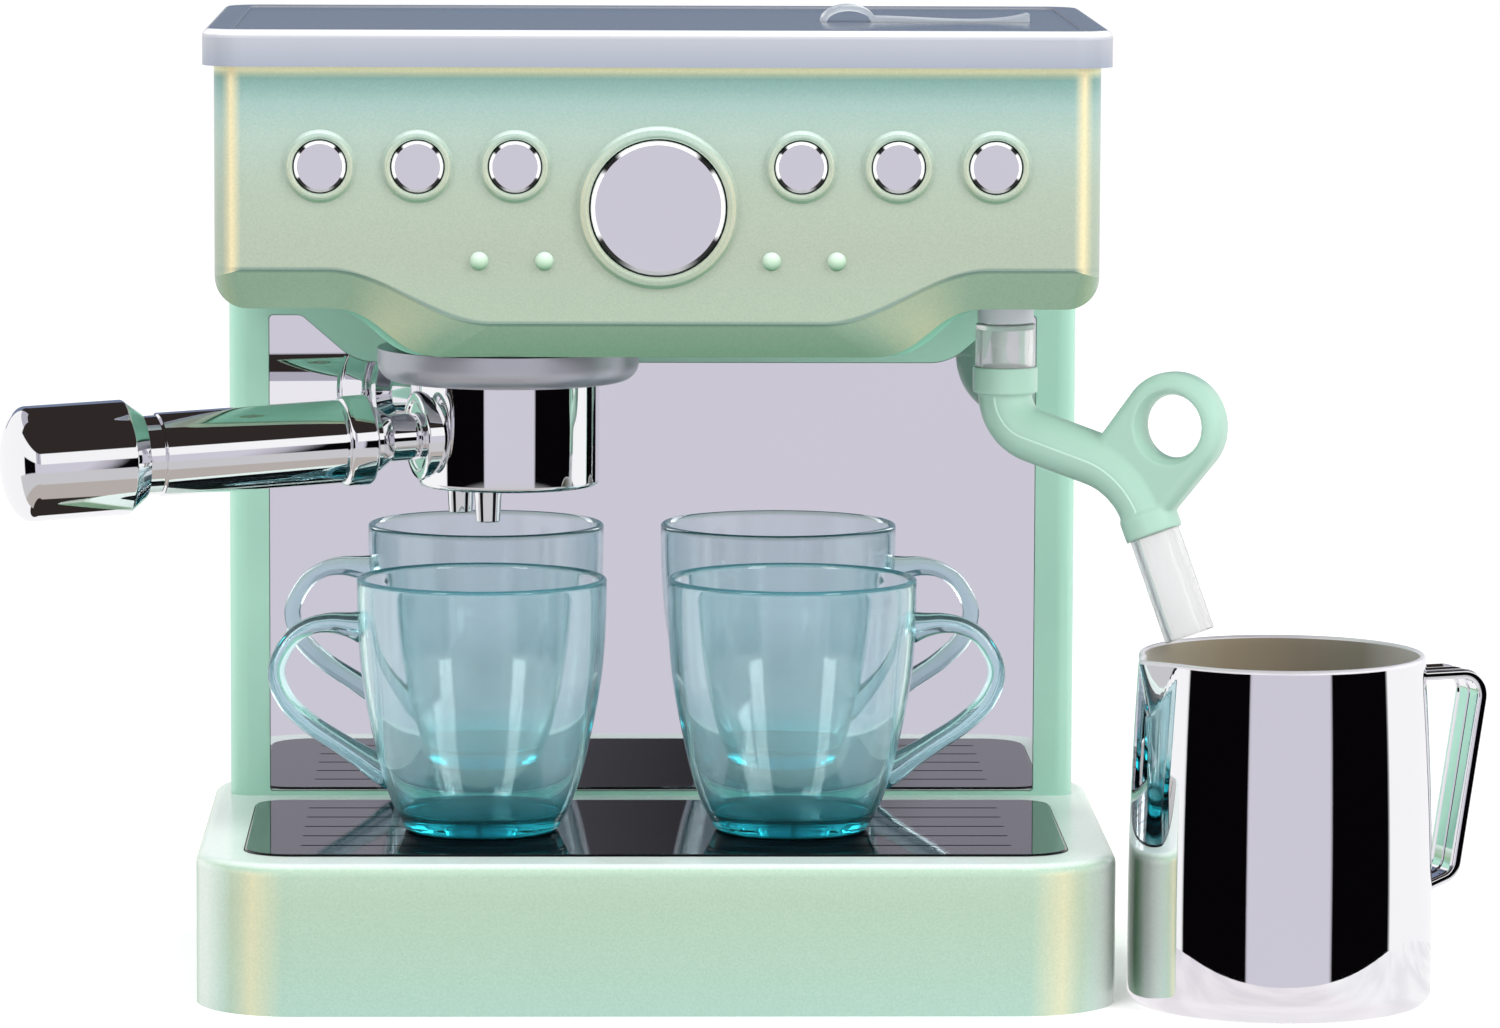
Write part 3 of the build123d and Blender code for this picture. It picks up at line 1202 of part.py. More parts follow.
with BuildPart() as tank_lid:
    with BuildSketch(Plane.XY.offset(LID_BOTTOM)):
        rounded_plan(2 * lid_half, lid_front, lid_rear, LID_CORNER_R, LID_CORNER_R)
    extrude(amount=LID_TOP - LID_BOTTOM)
    fillet(tank_lid.faces().sort_by(Axis.Z)[-1].edges(), LID_EDGE_ROUND)
    with BuildSketch(Plane.XY.offset(LID_BOTTOM)):
        rounded_plan(
            HEAD_WIDTH + 2 * PART_GAP,
            HEAD_FRONT - PART_GAP,
            HEAD_REAR + PART_GAP,
            HEAD_CORNER_R + PART_GAP,
            HEAD_REAR_R + PART_GAP,
        )
    extrude(amount=lid_ceiling - LID_BOTTOM, mode=Mode.SUBTRACT)
    with BuildSketch(Plane.XY.offset(panel_top)):
        rounded_plan(
            2 * (lid_half - LID_BORDER), lid_front + LID_BORDER, lid_rear - LID_BORDER, WALL, WALL
        )
    extrude(amount=LID_TOP, mode=Mode.SUBTRACT)
    with BuildSketch(Plane.XY.offset(lid_ceiling - LID_PLUG_H)):
        plug_edge = 2 * PART_GAP
        plug_rear = HEAD_REAR - WALL - plug_edge
        rounded_plan(2 * (cavity_half - plug_edge), face_back + plug_edge, plug_rear, TANK_R / 2, TANK_R / 2)
        offset(amount=-LID_PLUG_T, mode=Mode.SUBTRACT)
    extrude(amount=LID_PLUG_H)
save(tank_lid.part, "tank_lid")

with BuildPart() as lid_tab:
    loop_x = TAB_LEFT + TAB_LOOP_HALF
    with BuildSketch(facing_front(TAB_Y + TAB_WIDTH / 2)):
        with BuildLine():
            EllipticalCenterArc((loop_x, panel_top), TAB_LOOP_HALF, TAB_LOOP_H, start_angle=0, arc_size=180)
            Line((TAB_LEFT, panel_top), (TAB_LEFT + TAB_T, panel_top))
            EllipticalCenterArc(
                (loop_x, panel_top), TAB_LOOP_HALF - TAB_T, TAB_LOOP_H - TAB_T, start_angle=0, arc_size=180
            )
            Line((loop_x + TAB_LOOP_HALF - TAB_T, panel_top), (loop_x + TAB_LOOP_HALF, panel_top))
        make_face()
        with BuildLine():
            strap_start = loop_x + TAB_LOOP_HALF - TAB_T
            Line((strap_start, panel_top), (TAB_RIGHT, panel_top))
            Line((TAB_RIGHT, panel_top), (TAB_RIGHT, panel_top + TAB_T + TAB_TIP_LIFT))
            Spline(
                (TAB_RIGHT, panel_top + TAB_T + TAB_TIP_LIFT),
                (strap_start, panel_top + TAB_T),
                tangents=((-1, -0.3), (-1, 0)),
            )
            Line((strap_start, panel_top + TAB_T), (strap_start, panel_top))
        make_face()
    extrude(amount=TAB_WIDTH)
save(lid_tab.part, "lid_tab")
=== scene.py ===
import json
from math import atan2, copysign, cos, pi, radians, sin, tan

import bmesh
import bpy
from mathutils import Matrix, Vector

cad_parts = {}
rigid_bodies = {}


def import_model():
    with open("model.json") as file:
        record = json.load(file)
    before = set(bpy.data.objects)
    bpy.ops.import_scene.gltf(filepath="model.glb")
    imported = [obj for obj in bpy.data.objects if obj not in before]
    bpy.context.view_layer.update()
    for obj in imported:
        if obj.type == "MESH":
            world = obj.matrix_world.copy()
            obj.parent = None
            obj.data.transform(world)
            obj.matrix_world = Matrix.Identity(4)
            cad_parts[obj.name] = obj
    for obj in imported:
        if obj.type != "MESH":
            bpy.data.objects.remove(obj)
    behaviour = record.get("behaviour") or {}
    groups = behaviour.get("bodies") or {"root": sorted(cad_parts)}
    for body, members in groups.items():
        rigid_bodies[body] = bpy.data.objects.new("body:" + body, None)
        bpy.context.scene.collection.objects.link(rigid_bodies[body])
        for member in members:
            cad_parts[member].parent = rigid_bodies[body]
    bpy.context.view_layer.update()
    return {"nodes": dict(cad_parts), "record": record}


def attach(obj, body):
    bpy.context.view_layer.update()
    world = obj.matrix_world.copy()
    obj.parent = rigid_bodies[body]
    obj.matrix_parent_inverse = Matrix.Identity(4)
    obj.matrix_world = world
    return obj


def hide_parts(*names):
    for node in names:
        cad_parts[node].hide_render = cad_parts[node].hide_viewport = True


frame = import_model()
nodes = frame["nodes"]
scene = bpy.context.scene

# Shapes are written in millimetres, in the frame's own axes: X to the right, Y to the back, Z up.
MM = 0.001
# Height at the top of the scale that the paints read, in millimetres above the base's underside.
PAINT_TOP = 260


# ---------------------------------------------------------------- colours and node helpers
def srgb(red, green, blue):
    """Scene-linear colour of an 8-bit display colour."""
    linear = []
    for value in (red, green, blue):
        c = value / 255
        linear.append(c / 12.92 if c <= 0.04045 else ((c + 0.055) / 1.055) ** 2.4)
    return (*linear, 1)


def grey(value):
    """Scene-linear grey, also used as a weight."""
    return (value, value, value, 1)


class Nodes:
    """A short way to write a node tree."""

    def __init__(self, tree):
        self.tree = tree
        tree.nodes.clear()

    def add(self, kind, settings=None, **inputs):
        """New node. The name of an input has _ in place of each space."""
        node = self.tree.nodes.new(kind)
        for key, value in (settings or {}).items():
            setattr(node, key, value)
        for key, value in inputs.items():
            self.set(node, key.replace("_", " "), value)
        return node

    def set(self, node, key, value):
        """Links or fills the input with a name or number."""
        socket = node.inputs[key]
        if isinstance(value, bpy.types.NodeSocket):
            self.tree.links.new(value, socket)
        else:
            socket.default_value = value

    def math(self, operation, *values):
        """Result of a sum on values or sockets."""
        node = self.add("ShaderNodeMath", {"operation": operation})
        for place, value in enumerate(values):
            self.set(node, place, value)
        return node.outputs[0]

    def ramp(self, factor, stops):
        """Colour by a factor, from (place, colour) stops."""
        node = self.add("ShaderNodeValToRGB")
        elements = node.color_ramp.elements
        while len(elements) < len(stops):
            elements.new(0.5)
        for element, (place, colour) in zip(elements, stops):
            element.position = place
            element.color = colour
        self.tree.links.new(factor, node.inputs[0])
        return node.outputs[0]

    def mix(self, factor, a, b, blend="MIX"):
        """Colour between two. The numbers are the inputs that the node has for colours."""
        node = self.add("ShaderNodeMix", {"data_type": "RGBA", "blend_type": blend})
        self.set(node, 0, factor)
        self.set(node, 6, a)
        self.set(node, 7, b)
        return node.outputs[2]

    def blend(self, factor, first, second):
        """Shader between two."""
        node = self.add("ShaderNodeMixShader")
        for place, value in enumerate((factor, first, second)):
            self.set(node, place, value)
        return node.outputs[0]


def new_material(name):
    """Material with an empty node tree, and the short way to write that tree."""
    made = bpy.data.materials.new(name)
    made.use_nodes = True
    return made, Nodes(made.node_tree)


def axes(n, coordinates):
    """X, Y and Z of a kind of texture coordinates."""
    vector = n.add("ShaderNodeTexCoord").outputs[coordinates]
    return n.add("ShaderNodeSeparateXYZ", Vector=vector).outputs


def surface_noise(n, scale, detail=3.0, stretch=(1, 1, 1)):
    """Noise in the part's own metres."""
    coords = n.add("ShaderNodeTexCoord").outputs["Object"]
    mapped = n.add("ShaderNodeMapping", Vector=coords, Scale=stretch).outputs[0]
    return n.add("ShaderNodeTexNoise", Vector=mapped, Scale=scale, Detail=detail).outputs["Fac"]


def cloudy(n, colour, scale, low):
    """Colour dimmed to a low tone in soft patches."""
    cloud = n.ramp(surface_noise(n, scale), [(0.3, low), (0.7, grey(1))])
    return n.mix(1.0, colour, cloud, "MULTIPLY")


def height_ramp(n, stops):
    """Colour by height above the base's underside, from (millimetres, colour) stops."""
    share = n.math("DIVIDE", axes(n, "Object")[2], PAINT_TOP * MM)
    return n.ramp(share, [(z / PAINT_TOP, colour) for z, colour in stops])


def by_height(n, value):
    """A plain value as it is, or the height ramp of a list of stops."""
    return height_ramp(n, value) if isinstance(value, list) else value


def band(n, value, stops):
    """Weight from 0 to 1 by a value, from (value, weight) stops."""
    return n.ramp(value, [(place, grey(weight)) for place, weight in stops])


def material(name, base, variation, noise_scale, bump, **shader):
    """Principled material whose colour drifts between two shades, with a fine moulded surface."""
    made, n = new_material(name)
    low = [c * (1 - variation) for c in base[:3]] + [1]
    high = [min(1, c * (1 + variation)) for c in base[:3]] + [1]
    colour = n.ramp(surface_noise(n, noise_scale), [(0.3, low), (0.7, high)])
    fine = surface_noise(n, noise_scale * 12, 2.0)
    relief = n.add("ShaderNodeBump", Strength=bump, Distance=0.0002, Height=fine)
    bsdf = n.add("ShaderNodeBsdfPrincipled", Base_Color=colour, Normal=relief.outputs[0], **shader)
    n.add("ShaderNodeOutputMaterial", Surface=bsdf.outputs[0])
    return made


# ---------------------------------------------------------------- materials
# Gold painted highlight, where a corner of the pearl paint turns to the side.
GOLD_HIGHLIGHT = srgb(255, 238, 190)
# Pale painted reflection on the corners past the gold.
CORNER_REFLECTION = srgb(240, 250, 243)
# Green of the base's flanks: partly its own colour, partly painted shade.
SHADED_FLANK = srgb(136, 200, 140)
# Painted light: the pale tone of faces that look up.
LIT_TOP = srgb(240, 252, 247)
# Painted shade: the darker tone of faces that look down.
SHADED_UNDER = srgb(126, 168, 138)
# Painted shade of the crease line over the lip.
CREASE_SHADE = srgb(190, 206, 216)
# The painted shade line on the crease over the head's lip: where it climbs at each side, from and
# to which height, and the plane that it stays in front of.
CREASE_X = (43, 86)
CREASE_Z = (177.2, 191.2)
CREASE_BEFORE_Y = -44


def pearl(name, stops, gold_highlight_weight, crease=False, side=0.0):
    """Pearl paint: fine flakes under a clear coat, a gold painted highlight where a corner turns to
    the side.

    It is paler above, a painted highlight, and darker below, a painted shade. The side weight makes
    the corners past the gold pale, a painted reflection, and the flanks green, partly painted
    shade.
    """
    made, n = new_material(name)
    coords = n.add("ShaderNodeTexCoord")
    normal = n.add("ShaderNodeSeparateXYZ", Vector=coords.outputs["Normal"]).outputs
    sideways = n.math("ABSOLUTE", normal[0])
    up = n.math("MULTIPLY_ADD", normal[2], 0.5, 0.5)
    upright = band(n, up, [(0.2, 0.35), (0.45, 1), (0.55, 1), (0.75, 0)])
    turning = band(n, sideways, [(0.1, 0), (0.42, 1), (0.55, 0.45), (0.72, 0)])
    # Where the gold painted highlight falls.
    gold = n.math("MULTIPLY", n.math("MULTIPLY", turning, upright), gold_highlight_weight)
    corner = band(n, n.math("ABSOLUTE", normal[1]), [(0.06, 0), (0.28, 1)])
    pale = n.math("MULTIPLY", band(n, sideways, [(0.62, 0), (0.88, side)]), corner)
    shaded_flank = band(n, sideways, [(0.95, 0), (0.99, side * 0.6)])
    above = band(n, up, [(0.78, 0), (0.97, 0.92)])
    below = band(n, up, [(0.08, 1), (0.4, 0)])
    colour = height_ramp(n, stops)
    # Painted light and shade over the paint: the gold highlight, the pale corner reflection, the
    # partly shaded flank, the lit top and the shaded underside.
    for weight, tint in (
        (gold, GOLD_HIGHLIGHT),
        (pale, CORNER_REFLECTION),
        (shaded_flank, SHADED_FLANK),
        (above, LIT_TOP),
        (below, SHADED_UNDER),
    ):
        colour = n.mix(weight, colour, tint)
    flakes = n.add("ShaderNodeTexVoronoi", Vector=coords.outputs["Object"], Scale=2400.0)
    dull, bright = (0.9, 0.93, 0.92, 1), (1.06, 1.04, 1.04, 1)
    glint = n.ramp(flakes.outputs["Color"], [(0.0, dull), (1.0, bright)])
    colour = n.mix(1.0, colour, glint, "MULTIPLY")
    colour = cloudy(n, colour, 14.0, grey(0.985))
    # Painted shade: faces that look down are darkened.
    colour = n.mix(1.0, colour, band(n, up, [(0.5, 0.75), (0.9, 1)]), "MULTIPLY")
    # A painted shade line along the crease over the lip, only on the front.
    if crease:
        x, y, z = axes(n, "Object")
        line = n.add(
            "ShaderNodeMapRange",
            {"interpolation_type": "SMOOTHSTEP"},
            Value=n.math("ABSOLUTE", x),
            From_Min=CREASE_X[0] * MM,
            From_Max=CREASE_X[1] * MM,
            To_Min=CREASE_Z[0] * MM,
            To_Max=CREASE_Z[1] * MM,
        )
        gap = n.math("ABSOLUTE", n.math("SUBTRACT", z, line.outputs[0]))
        near = band(n, n.math("DIVIDE", gap, 10 * MM), [(0.0, 1), (0.04, 0.8), (0.09, 0)])
        in_front = n.math("LESS_THAN", y, CREASE_BEFORE_Y * MM)
        facing = band(n, sideways, [(0.15, 1), (0.5, 0.2)])
        weight = n.math("MULTIPLY", n.math("MULTIPLY", near, in_front), facing)
        colour = n.mix(weight, colour, n.mix(1.0, colour, CREASE_SHADE, "MULTIPLY"))
    height = flakes.outputs["Distance"]
    relief = n.add("ShaderNodeBump", Strength=0.06, Distance=0.0001, Height=height)
    bsdf = n.add(
        "ShaderNodeBsdfPrincipled",
        Base_Color=colour,
        Normal=relief.outputs[0],
        Roughness=0.34,
        Coat_Weight=0.35,
        Coat_Roughness=0.08,
        Specular_IOR_Level=0.3,
    )
    n.add("ShaderNodeOutputMaterial", Surface=bsdf.outputs[0])
    return made


def tinted(name, absorbed, density, veil, share, ior=1.49, base=(1, 1, 1, 1)):
    """Clear moulded plastic, tinted by the depth that light crosses, with a diffuse veil mixed in.

    The veil's colour, its share and the base colour are plain, or lists of height ramp stops. A
    veil that changes with height is painted light.
    """
    made, n = new_material(name)
    bsdf = n.add(
        "ShaderNodeBsdfPrincipled",
        Base_Color=by_height(n, base),
        IOR=ior,
        Roughness=n.ramp(surface_noise(n, 30.0), [(0.3, grey(0.015)), (0.7, grey(0.03))]),
        Transmission_Weight=1.0,
    )
    depth = n.add("ShaderNodeVolumeAbsorption", Color=absorbed, Density=density)
    milk = n.add("ShaderNodeBsdfDiffuse", Color=by_height(n, veil))
    surface = n.blend(by_height(n, share), bsdf.outputs[0], milk.outputs[0])
    n.add("ShaderNodeOutputMaterial", Surface=surface, Volume=depth.outputs[0])
    return made


def lid_plastic():
    """Frosted lid: pale rim, a white painted highlight on its rounded edge, and painted shade on
    the top.
    """
    made, n = new_material("frosted_lid")
    tone = n.ramp(
        axes(n, "Normal")[2],
        [
            (0.0, srgb(170, 173, 182)),
            (0.3, srgb(199, 199, 207)),
            # The white rounded edge is a painted highlight.
            (0.45, srgb(252, 250, 252)),
            (0.86, srgb(250, 250, 253)),
            # The dark top is painted shade, where the hollow shows through.
            (0.97, srgb(106, 119, 137)),
        ],
    )
    # Painted highlight: the rim grows lighter towards its top.
    rim = height_ramp(n, [(243.8, srgb(226, 232, 240)), (250.6, srgb(255, 255, 255))])
    tone = cloudy(n, n.mix(1.0, tone, rim, "MULTIPLY"), 12.0, grey(0.97))
    fine = surface_noise(n, 300.0, 2.0)
    relief = n.add("ShaderNodeBump", Strength=0.03, Distance=0.0002, Height=fine)
    bsdf = n.add(
        "ShaderNodeBsdfPrincipled",
        Base_Color=tone,
        Normal=relief.outputs[0],
        Roughness=0.22,
        IOR=1.49,
        Transmission_Weight=0.06,
    )
    n.add("ShaderNodeOutputMaterial", Surface=bsdf.outputs[0])
    return made


def jug_inside():
    """Dull inside of the jug: pale at both sides, olive across the middle."""
    made, n = new_material("plated_inside")
    left, width = 125.8, 74.8
    across = n.math("SUBTRACT", axes(n, "Object")[0], left * MM)
    tone = n.ramp(
        n.math("DIVIDE", across, width * MM),
        [
            (0.02, srgb(214, 212, 206)),
            (0.14, srgb(176, 168, 150)),
            (0.35, srgb(160, 147, 124)),
            (0.6, srgb(142, 132, 116)),
            (0.82, srgb(140, 137, 124)),
            (0.97, srgb(206, 205, 202)),
        ],
    )
    tone = cloudy(n, tone, 40.0, (0.94, 0.94, 0.93, 1))
    bsdf = n.add("ShaderNodeBsdfPrincipled", Base_Color=tone, Metallic=0.15, Roughness=0.42)
    n.add("ShaderNodeOutputMaterial", Surface=bsdf.outputs[0])
    return made


def bump_paint():
    """Pearl paint of the small bumps: lit from above, shaded below."""
    made, n = new_material("bump_paint")
    tone = n.ramp(
        n.math("MULTIPLY_ADD", axes(n, "Normal")[2], 0.5, 0.5),
        [
            (0.05, srgb(96, 140, 106)),
            (0.3, srgb(146, 180, 152)),
            (0.5, srgb(176, 202, 178)),
            (0.7, srgb(200, 222, 204)),
            (0.9, srgb(222, 240, 230)),
        ],
    )
    bsdf = n.add("ShaderNodeBsdfPrincipled", Base_Color=tone, Roughness=0.55)
    n.add("ShaderNodeOutputMaterial", Surface=bsdf.outputs[0])
    return made


def bevel_reflection_paint():
    """Edge of a button with a painted reflection of a studio: white above and at the sides, black
    between.
    """
    made, n = new_material("bevel_reflection_paint")
    x, _, z = axes(n, "Normal")
    turn = n.math("MULTIPLY_ADD", n.math("ARCTAN2", z, x), 0.5 / pi, 0.5)
    bright, dark, dull = (0.95, 0.95, 0.96, 1), (0.012, 0.011, 0.012, 1), (0.42, 0.42, 0.43, 1)
    # Where each tone starts and ends, in degrees from the right and upwards.
    tones = [
        (-180, -156, bright),
        (-150, -128, dark),
        (-110, -70, dull),
        (-52, -30, dark),
        (-24, 30, bright),
        (36, 50, dark),
        (56, 124, bright),
        (130, 144, dark),
    ]
    stops = [((angle + 180) / 360, tone) for *ends, tone in tones for angle in ends]
    stops.append(((150 + 180) / 360, bright))
    bsdf = n.add("ShaderNodeBsdfPrincipled", Base_Color=n.ramp(turn, stops), Roughness=0.3)
    n.add("ShaderNodeOutputMaterial", Surface=bsdf.outputs[0])
    return made


# Head paint by height, with painted light and shade: the dark lowest stop is painted shade on the
# lip, the darker teal stops under the lid are its painted shadow, and the pale yellow stops at the
# top edge a painted highlight.
HEAD_PAINT_LIGHT_AND_SHADE = [
    (169.0, srgb(132, 168, 142)),
    (177.0, srgb(176, 194, 172)),
    (196.0, srgb(177, 190, 171)),
    (212.0, srgb(180, 195, 177)),
    (226.0, srgb(181, 203, 191)),
    (234.0, srgb(165, 196, 189)),
    (238.5, srgb(140, 178, 171)),
    (241.5, srgb(130, 172, 163)),
    (242.1, srgb(236, 238, 190)),
    (244.0, srgb(255, 252, 208)),
]
# Base paint by height; the lighter stop at the top edge is a painted highlight.
BASE_PAINT_AND_HIGHLIGHT = [
    (2.0, srgb(178, 211, 197)),
    (14.0, srgb(178, 208, 189)),
    (30.0, srgb(180, 205, 183)),
    (39.0, srgb(186, 212, 192)),
]
# The clear cup by height: the colour of its thick foot, and its veil's colour and share. The veil
# is painted light: it lightens the cup most across its lower part, and darkens the rim to teal as a
# painted shade.
CUP_FOOT = [(43.6, srgb(92, 208, 216)), (46.4, srgb(150, 226, 230)), (52.0, (1, 1, 1, 1))]
CUP_LIGHT_VEIL = [
    (48, (0.12, 0.5, 0.58, 1)),
    (60, (0.4, 0.72, 0.78, 1)),
    (105.8, (0.4, 0.72, 0.78, 1)),
    (106.4, (0.12, 0.38, 0.47, 1)),
]
CUP_LIGHT_SHARE = [
    (41, grey(0.04)),
    (46, grey(0.06)),
    (53, grey(0.13)),
    (69, grey(0.16)),
    (78, grey(0.065)),
    (105.9, grey(0.045)),
    (106.5, grey(0.22)),
    (107.4, grey(0.3)),
]

pearl_head = pearl("pearl_mint_head", HEAD_PAINT_LIGHT_AND_SHADE, 0.95, crease=True)
pearl_trim = pearl("pearl_mint_trim", HEAD_PAINT_LIGHT_AND_SHADE, 0.35)
pearl_base = pearl("pearl_mint_base", BASE_PAINT_AND_HIGHLIGHT, 0.55, side=0.8)
# Name, colour, drift of the shade, scale of the noise and strength of the fine relief, then the
# shader's own values.
mint = material(
    "mint_plastic", srgb(161, 196, 180), 0.03, 9.0, 0.02,
    Roughness=0.28, Coat_Weight=0.2, Coat_Roughness=0.14,
)
# A lighter copy of the mint plastic for the posts: painted light where the head shades them.
lit_mint_post = material(
    "lit_mint_post", srgb(166, 212, 192), 0.03, 9.0, 0.02,
    Roughness=0.25, Coat_Weight=0.3, Coat_Roughness=0.05,
)
# Glossy mint of the panel under the head, darker than the mint plastic: partly its own colour,
# partly painted shade.
shaded_mint_gloss = material("shaded_mint_gloss", srgb(124, 182, 158), 0.03, 9.0, 0.02, Roughness=0.12)
# Lighter mint of the elbow's mould seam: a painted highlight along its ridge.
seam_highlight_mint = material("seam_highlight_mint", srgb(182, 214, 200), 0.02, 30.0, 0.01, Roughness=0.25)
# Dark green painted shade of the hollow round each button.
recess_shade = material("button_recess", srgb(44, 84, 62), 0.05, 60.0, 0.02, Roughness=0.4)
# Near-white rim of the jug: a painted highlight on its rolled bead.
jug_rim_highlight = material(
    "jug_rim_highlight", srgb(232, 230, 234), 0.03, 60.0, 0.01, Metallic=0.5, Roughness=0.3
)
mirror = material("mirror_plate", (0.9, 0.89, 0.92), 0.01, 6.0, 0.0, Metallic=1.0, Roughness=0.01)
plated = material("plated", (0.9, 0.895, 0.92), 0.01, 20.0, 0.01, Metallic=1.0, Roughness=0.02)
satin = material(
    "satin_silver", (0.46, 0.465, 0.52), 0.1, 14.0, 0.04, Metallic=0.75, Roughness=0.36
)
steel = material("screw_steel", (0.5, 0.5, 0.51), 0.05, 200.0, 0.05, Metallic=1.0, Roughness=0.3)
# Near-black painted shade in the grooves of the spouts.
slot_shade = material("spout_slot_shade", srgb(22, 19, 22), 0.05, 80.0, 0.02, Roughness=0.3)
tray_black = material("tray_black", srgb(8, 9, 14), 0.08, 20.0, 0.01, Roughness=0.04, IOR=1.5)
grey_plastic = material("grey_plastic", srgb(188, 190, 196), 0.04, 25.0, 0.05, Roughness=0.35)
rubber = material("hose_rubber", srgb(190, 190, 186), 0.04, 40.0, 0.05, Roughness=0.5)
tub = material(
    "frosted_tub", srgb(206, 212, 220), 0.02, 12.0, 0.02,
    Roughness=0.3, Transmission_Weight=0.4, IOR=1.49,
)
clear = tinted(
    "clear_plastic", (0.86, 0.93, 0.93, 1), 34.0, (0.84, 0.88, 0.88, 1), 0.08, ior=1.2
)
milky = tinted(
    "milky_plastic", (0.93, 0.95, 0.96, 1), 40.0, (0.95, 0.94, 0.95, 1), 0.22, ior=1.3
)
tab = tinted("tab_plastic", (0.93, 0.96, 0.98, 1), 20.0, (0.84, 0.89, 0.94, 1), 0.4, ior=1.3)
teal = tinted("clear_teal", (0.0, 0.82, 0.87, 1), 46.0, CUP_LIGHT_VEIL, CUP_LIGHT_SHARE, base=CUP_FOOT)
inside_plated = jug_inside()
bead = bump_paint()
bevel_reflection = bevel_reflection_paint()

look = {
    "pearl_mint": pearl_head,
    "mint_plastic": mint,
    "mirror_plate": mirror,
    "plated": plated,
    "satin_silver": satin,
    "tray_black": tray_black,
    "grey_plastic": grey_plastic,
    "frosted_lid": lid_plastic(),
    "clear_plastic": clear,
    "clear_teal": teal,
    "screw_steel": steel,
    "hose_rubber": rubber,
}
own_look = {
    "lid_tab": tab,
    "base_shell": pearl_base,
    "rear_housing": lit_mint_post,
    "water_tank": tub,
    "wand_lower_tube": milky,
}
slot_of = {entry["node"]: entry["material_slot"] for entry in frame["record"]["subparts"]}
EDGE_ROUND = 0.3


def soften(obj):
    """Small rounds on hard edges, and shading that keeps the flats flat."""
    edges = obj.modifiers.new("edges", "BEVEL")
    edges.width = EDGE_ROUND * MM
    edges.segments = 2
    edges.limit_method = "ANGLE"
    edges.angle_limit = radians(30)
    edges.harden_normals = False
    weighted = obj.modifiers.new("normals", "WEIGHTED_NORMAL")
    weighted.keep_sharp = True
    for face in obj.data.polygons:
        face.use_smooth = True


for name, node in nodes.items():
    node.data.materials.clear()
    node.data.materials.append(own_look.get(name, look[slot_of[name]]))
    soften(node)


# ---------------------------------------------------------------- mesh helpers
def make(name, verts, faces, surfaces, body, node_names, sharp=50):
    """Piece from vertices and faces, dressed as below."""
    mesh = bpy.data.meshes.new(name)
    mesh.from_pydata(verts, [], faces)
    shape = bmesh.new()
    shape.from_mesh(mesh)
    bmesh.ops.remove_doubles(shape, verts=shape.verts, dist=1e-6)
    bmesh.ops.recalc_face_normals(shape, faces=shape.faces)
    shape.to_mesh(mesh)
    shape.free()
    return dress(name, mesh, surfaces, body, node_names, sharp)


def dress(name, mesh, surfaces, body, node_names, sharp=50):
    """Piece of a mesh with its materials, smooth up to a sharp angle in degrees.

    It rides on a body and stands for CAD nodes. Without a body it is only raw material.
    """
    obj = bpy.data.objects.new(name, mesh)
    scene.collection.objects.link(obj)
    for surface in surfaces:
        mesh.materials.append(surface)
    for face in mesh.polygons:
        face.use_smooth = True
    mesh.set_sharp_from_angle(angle=radians(sharp))
    if body:
        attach(obj, body)
        if node_names:
            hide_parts(*node_names)
    return obj


def rounded(points, steps=6):
    """Profile whose corners turn into arcs. A third number of a point is its corner's radius."""
    profile = []
    for number, point in enumerate(points):
        here = Vector(point[:2])
        if len(point) < 3:
            profile.append(here)
            continue
        radius = point[2]
        back = (Vector(points[number - 1][:2]) - here).normalized()
        onward = (Vector(points[number + 1][:2]) - here).normalized()
        half = back.angle(onward) / 2
        centre = here + (back + onward).normalized() * radius / sin(half)
        first = here + back * radius / tan(half) - centre
        last = here + onward * radius / tan(half) - centre
        start = atan2(first.y, first.x)
        sweep = (atan2(last.y, last.x) - start + pi) % (2 * pi) - pi
        for step in range(steps + 1):
            angle = start + sweep * step / steps
            profile.append(centre + Vector((cos(angle), sin(angle))) * radius)
    return profile


def smooth_run(points, steps=6):
    """Points of a smooth curve through the given ones."""
    run = []
    last = len(points) - 1
    for number in range(last):
        before, here, after, beyond = (
            Vector(points[max(0, min(last, number + k))]) for k in (-1, 0, 1, 2)
        )
        for step in range(steps):
            t = step / steps
            run.append(
                0.5
                * (
                    2 * here
                    + (after - before) * t
                    + (2 * before - 5 * here + 4 * after - beyond) * t * t
                    + (3 * here - before - 3 * after + beyond) * t * t * t
                )
            )
    return run + [Vector(points[-1])]


def placed(origin, axis=(0, 0, 1)):
    """Matrix that puts a millimetre shape at an origin with its Z along an axis, in metres."""
    turned = Vector((0, 0, 1)).rotation_difference(Vector(axis)).to_matrix().to_4x4()
    return Matrix.Translation(Vector(origin) * MM) @ turned @ Matrix.Scale(MM, 4)


def lathe(profile, place, turns=160, notch=None):
    """Shape of a (radius, height) profile turned round the Z of its place.

    A notch function gives the share of the radius that is cut away at an angle.
    """
    verts, rings, faces = [], [], []
    for radius, height in profile:
        count = turns if radius > 1e-4 else 1
        rings.append([len(verts) + k % count for k in range(turns + 1)])
        for k in range(count):
            angle = 2 * pi * k / turns
            reach = radius * (1 - notch(angle)) if notch else radius
            verts.append(place @ Vector((reach * cos(angle), reach * sin(angle), height)))
    for low, high in zip(rings, rings[1:]):
        for k in range(turns):
            corners = list(dict.fromkeys((low[k], low[k + 1], high[k + 1], high[k])))
            if len(corners) > 2:
                faces.append(corners)
    return verts, faces


def tube_faces(rings, sides):
    """Faces between rings of vertices, each ring after the other."""
    faces = []
    for ring in range(rings - 1):
        for k in range(sides):
            a, b = ring * sides + k, ring * sides + (k + 1) % sides
            faces.append([a, b, b + sides, a + sides])
    return faces


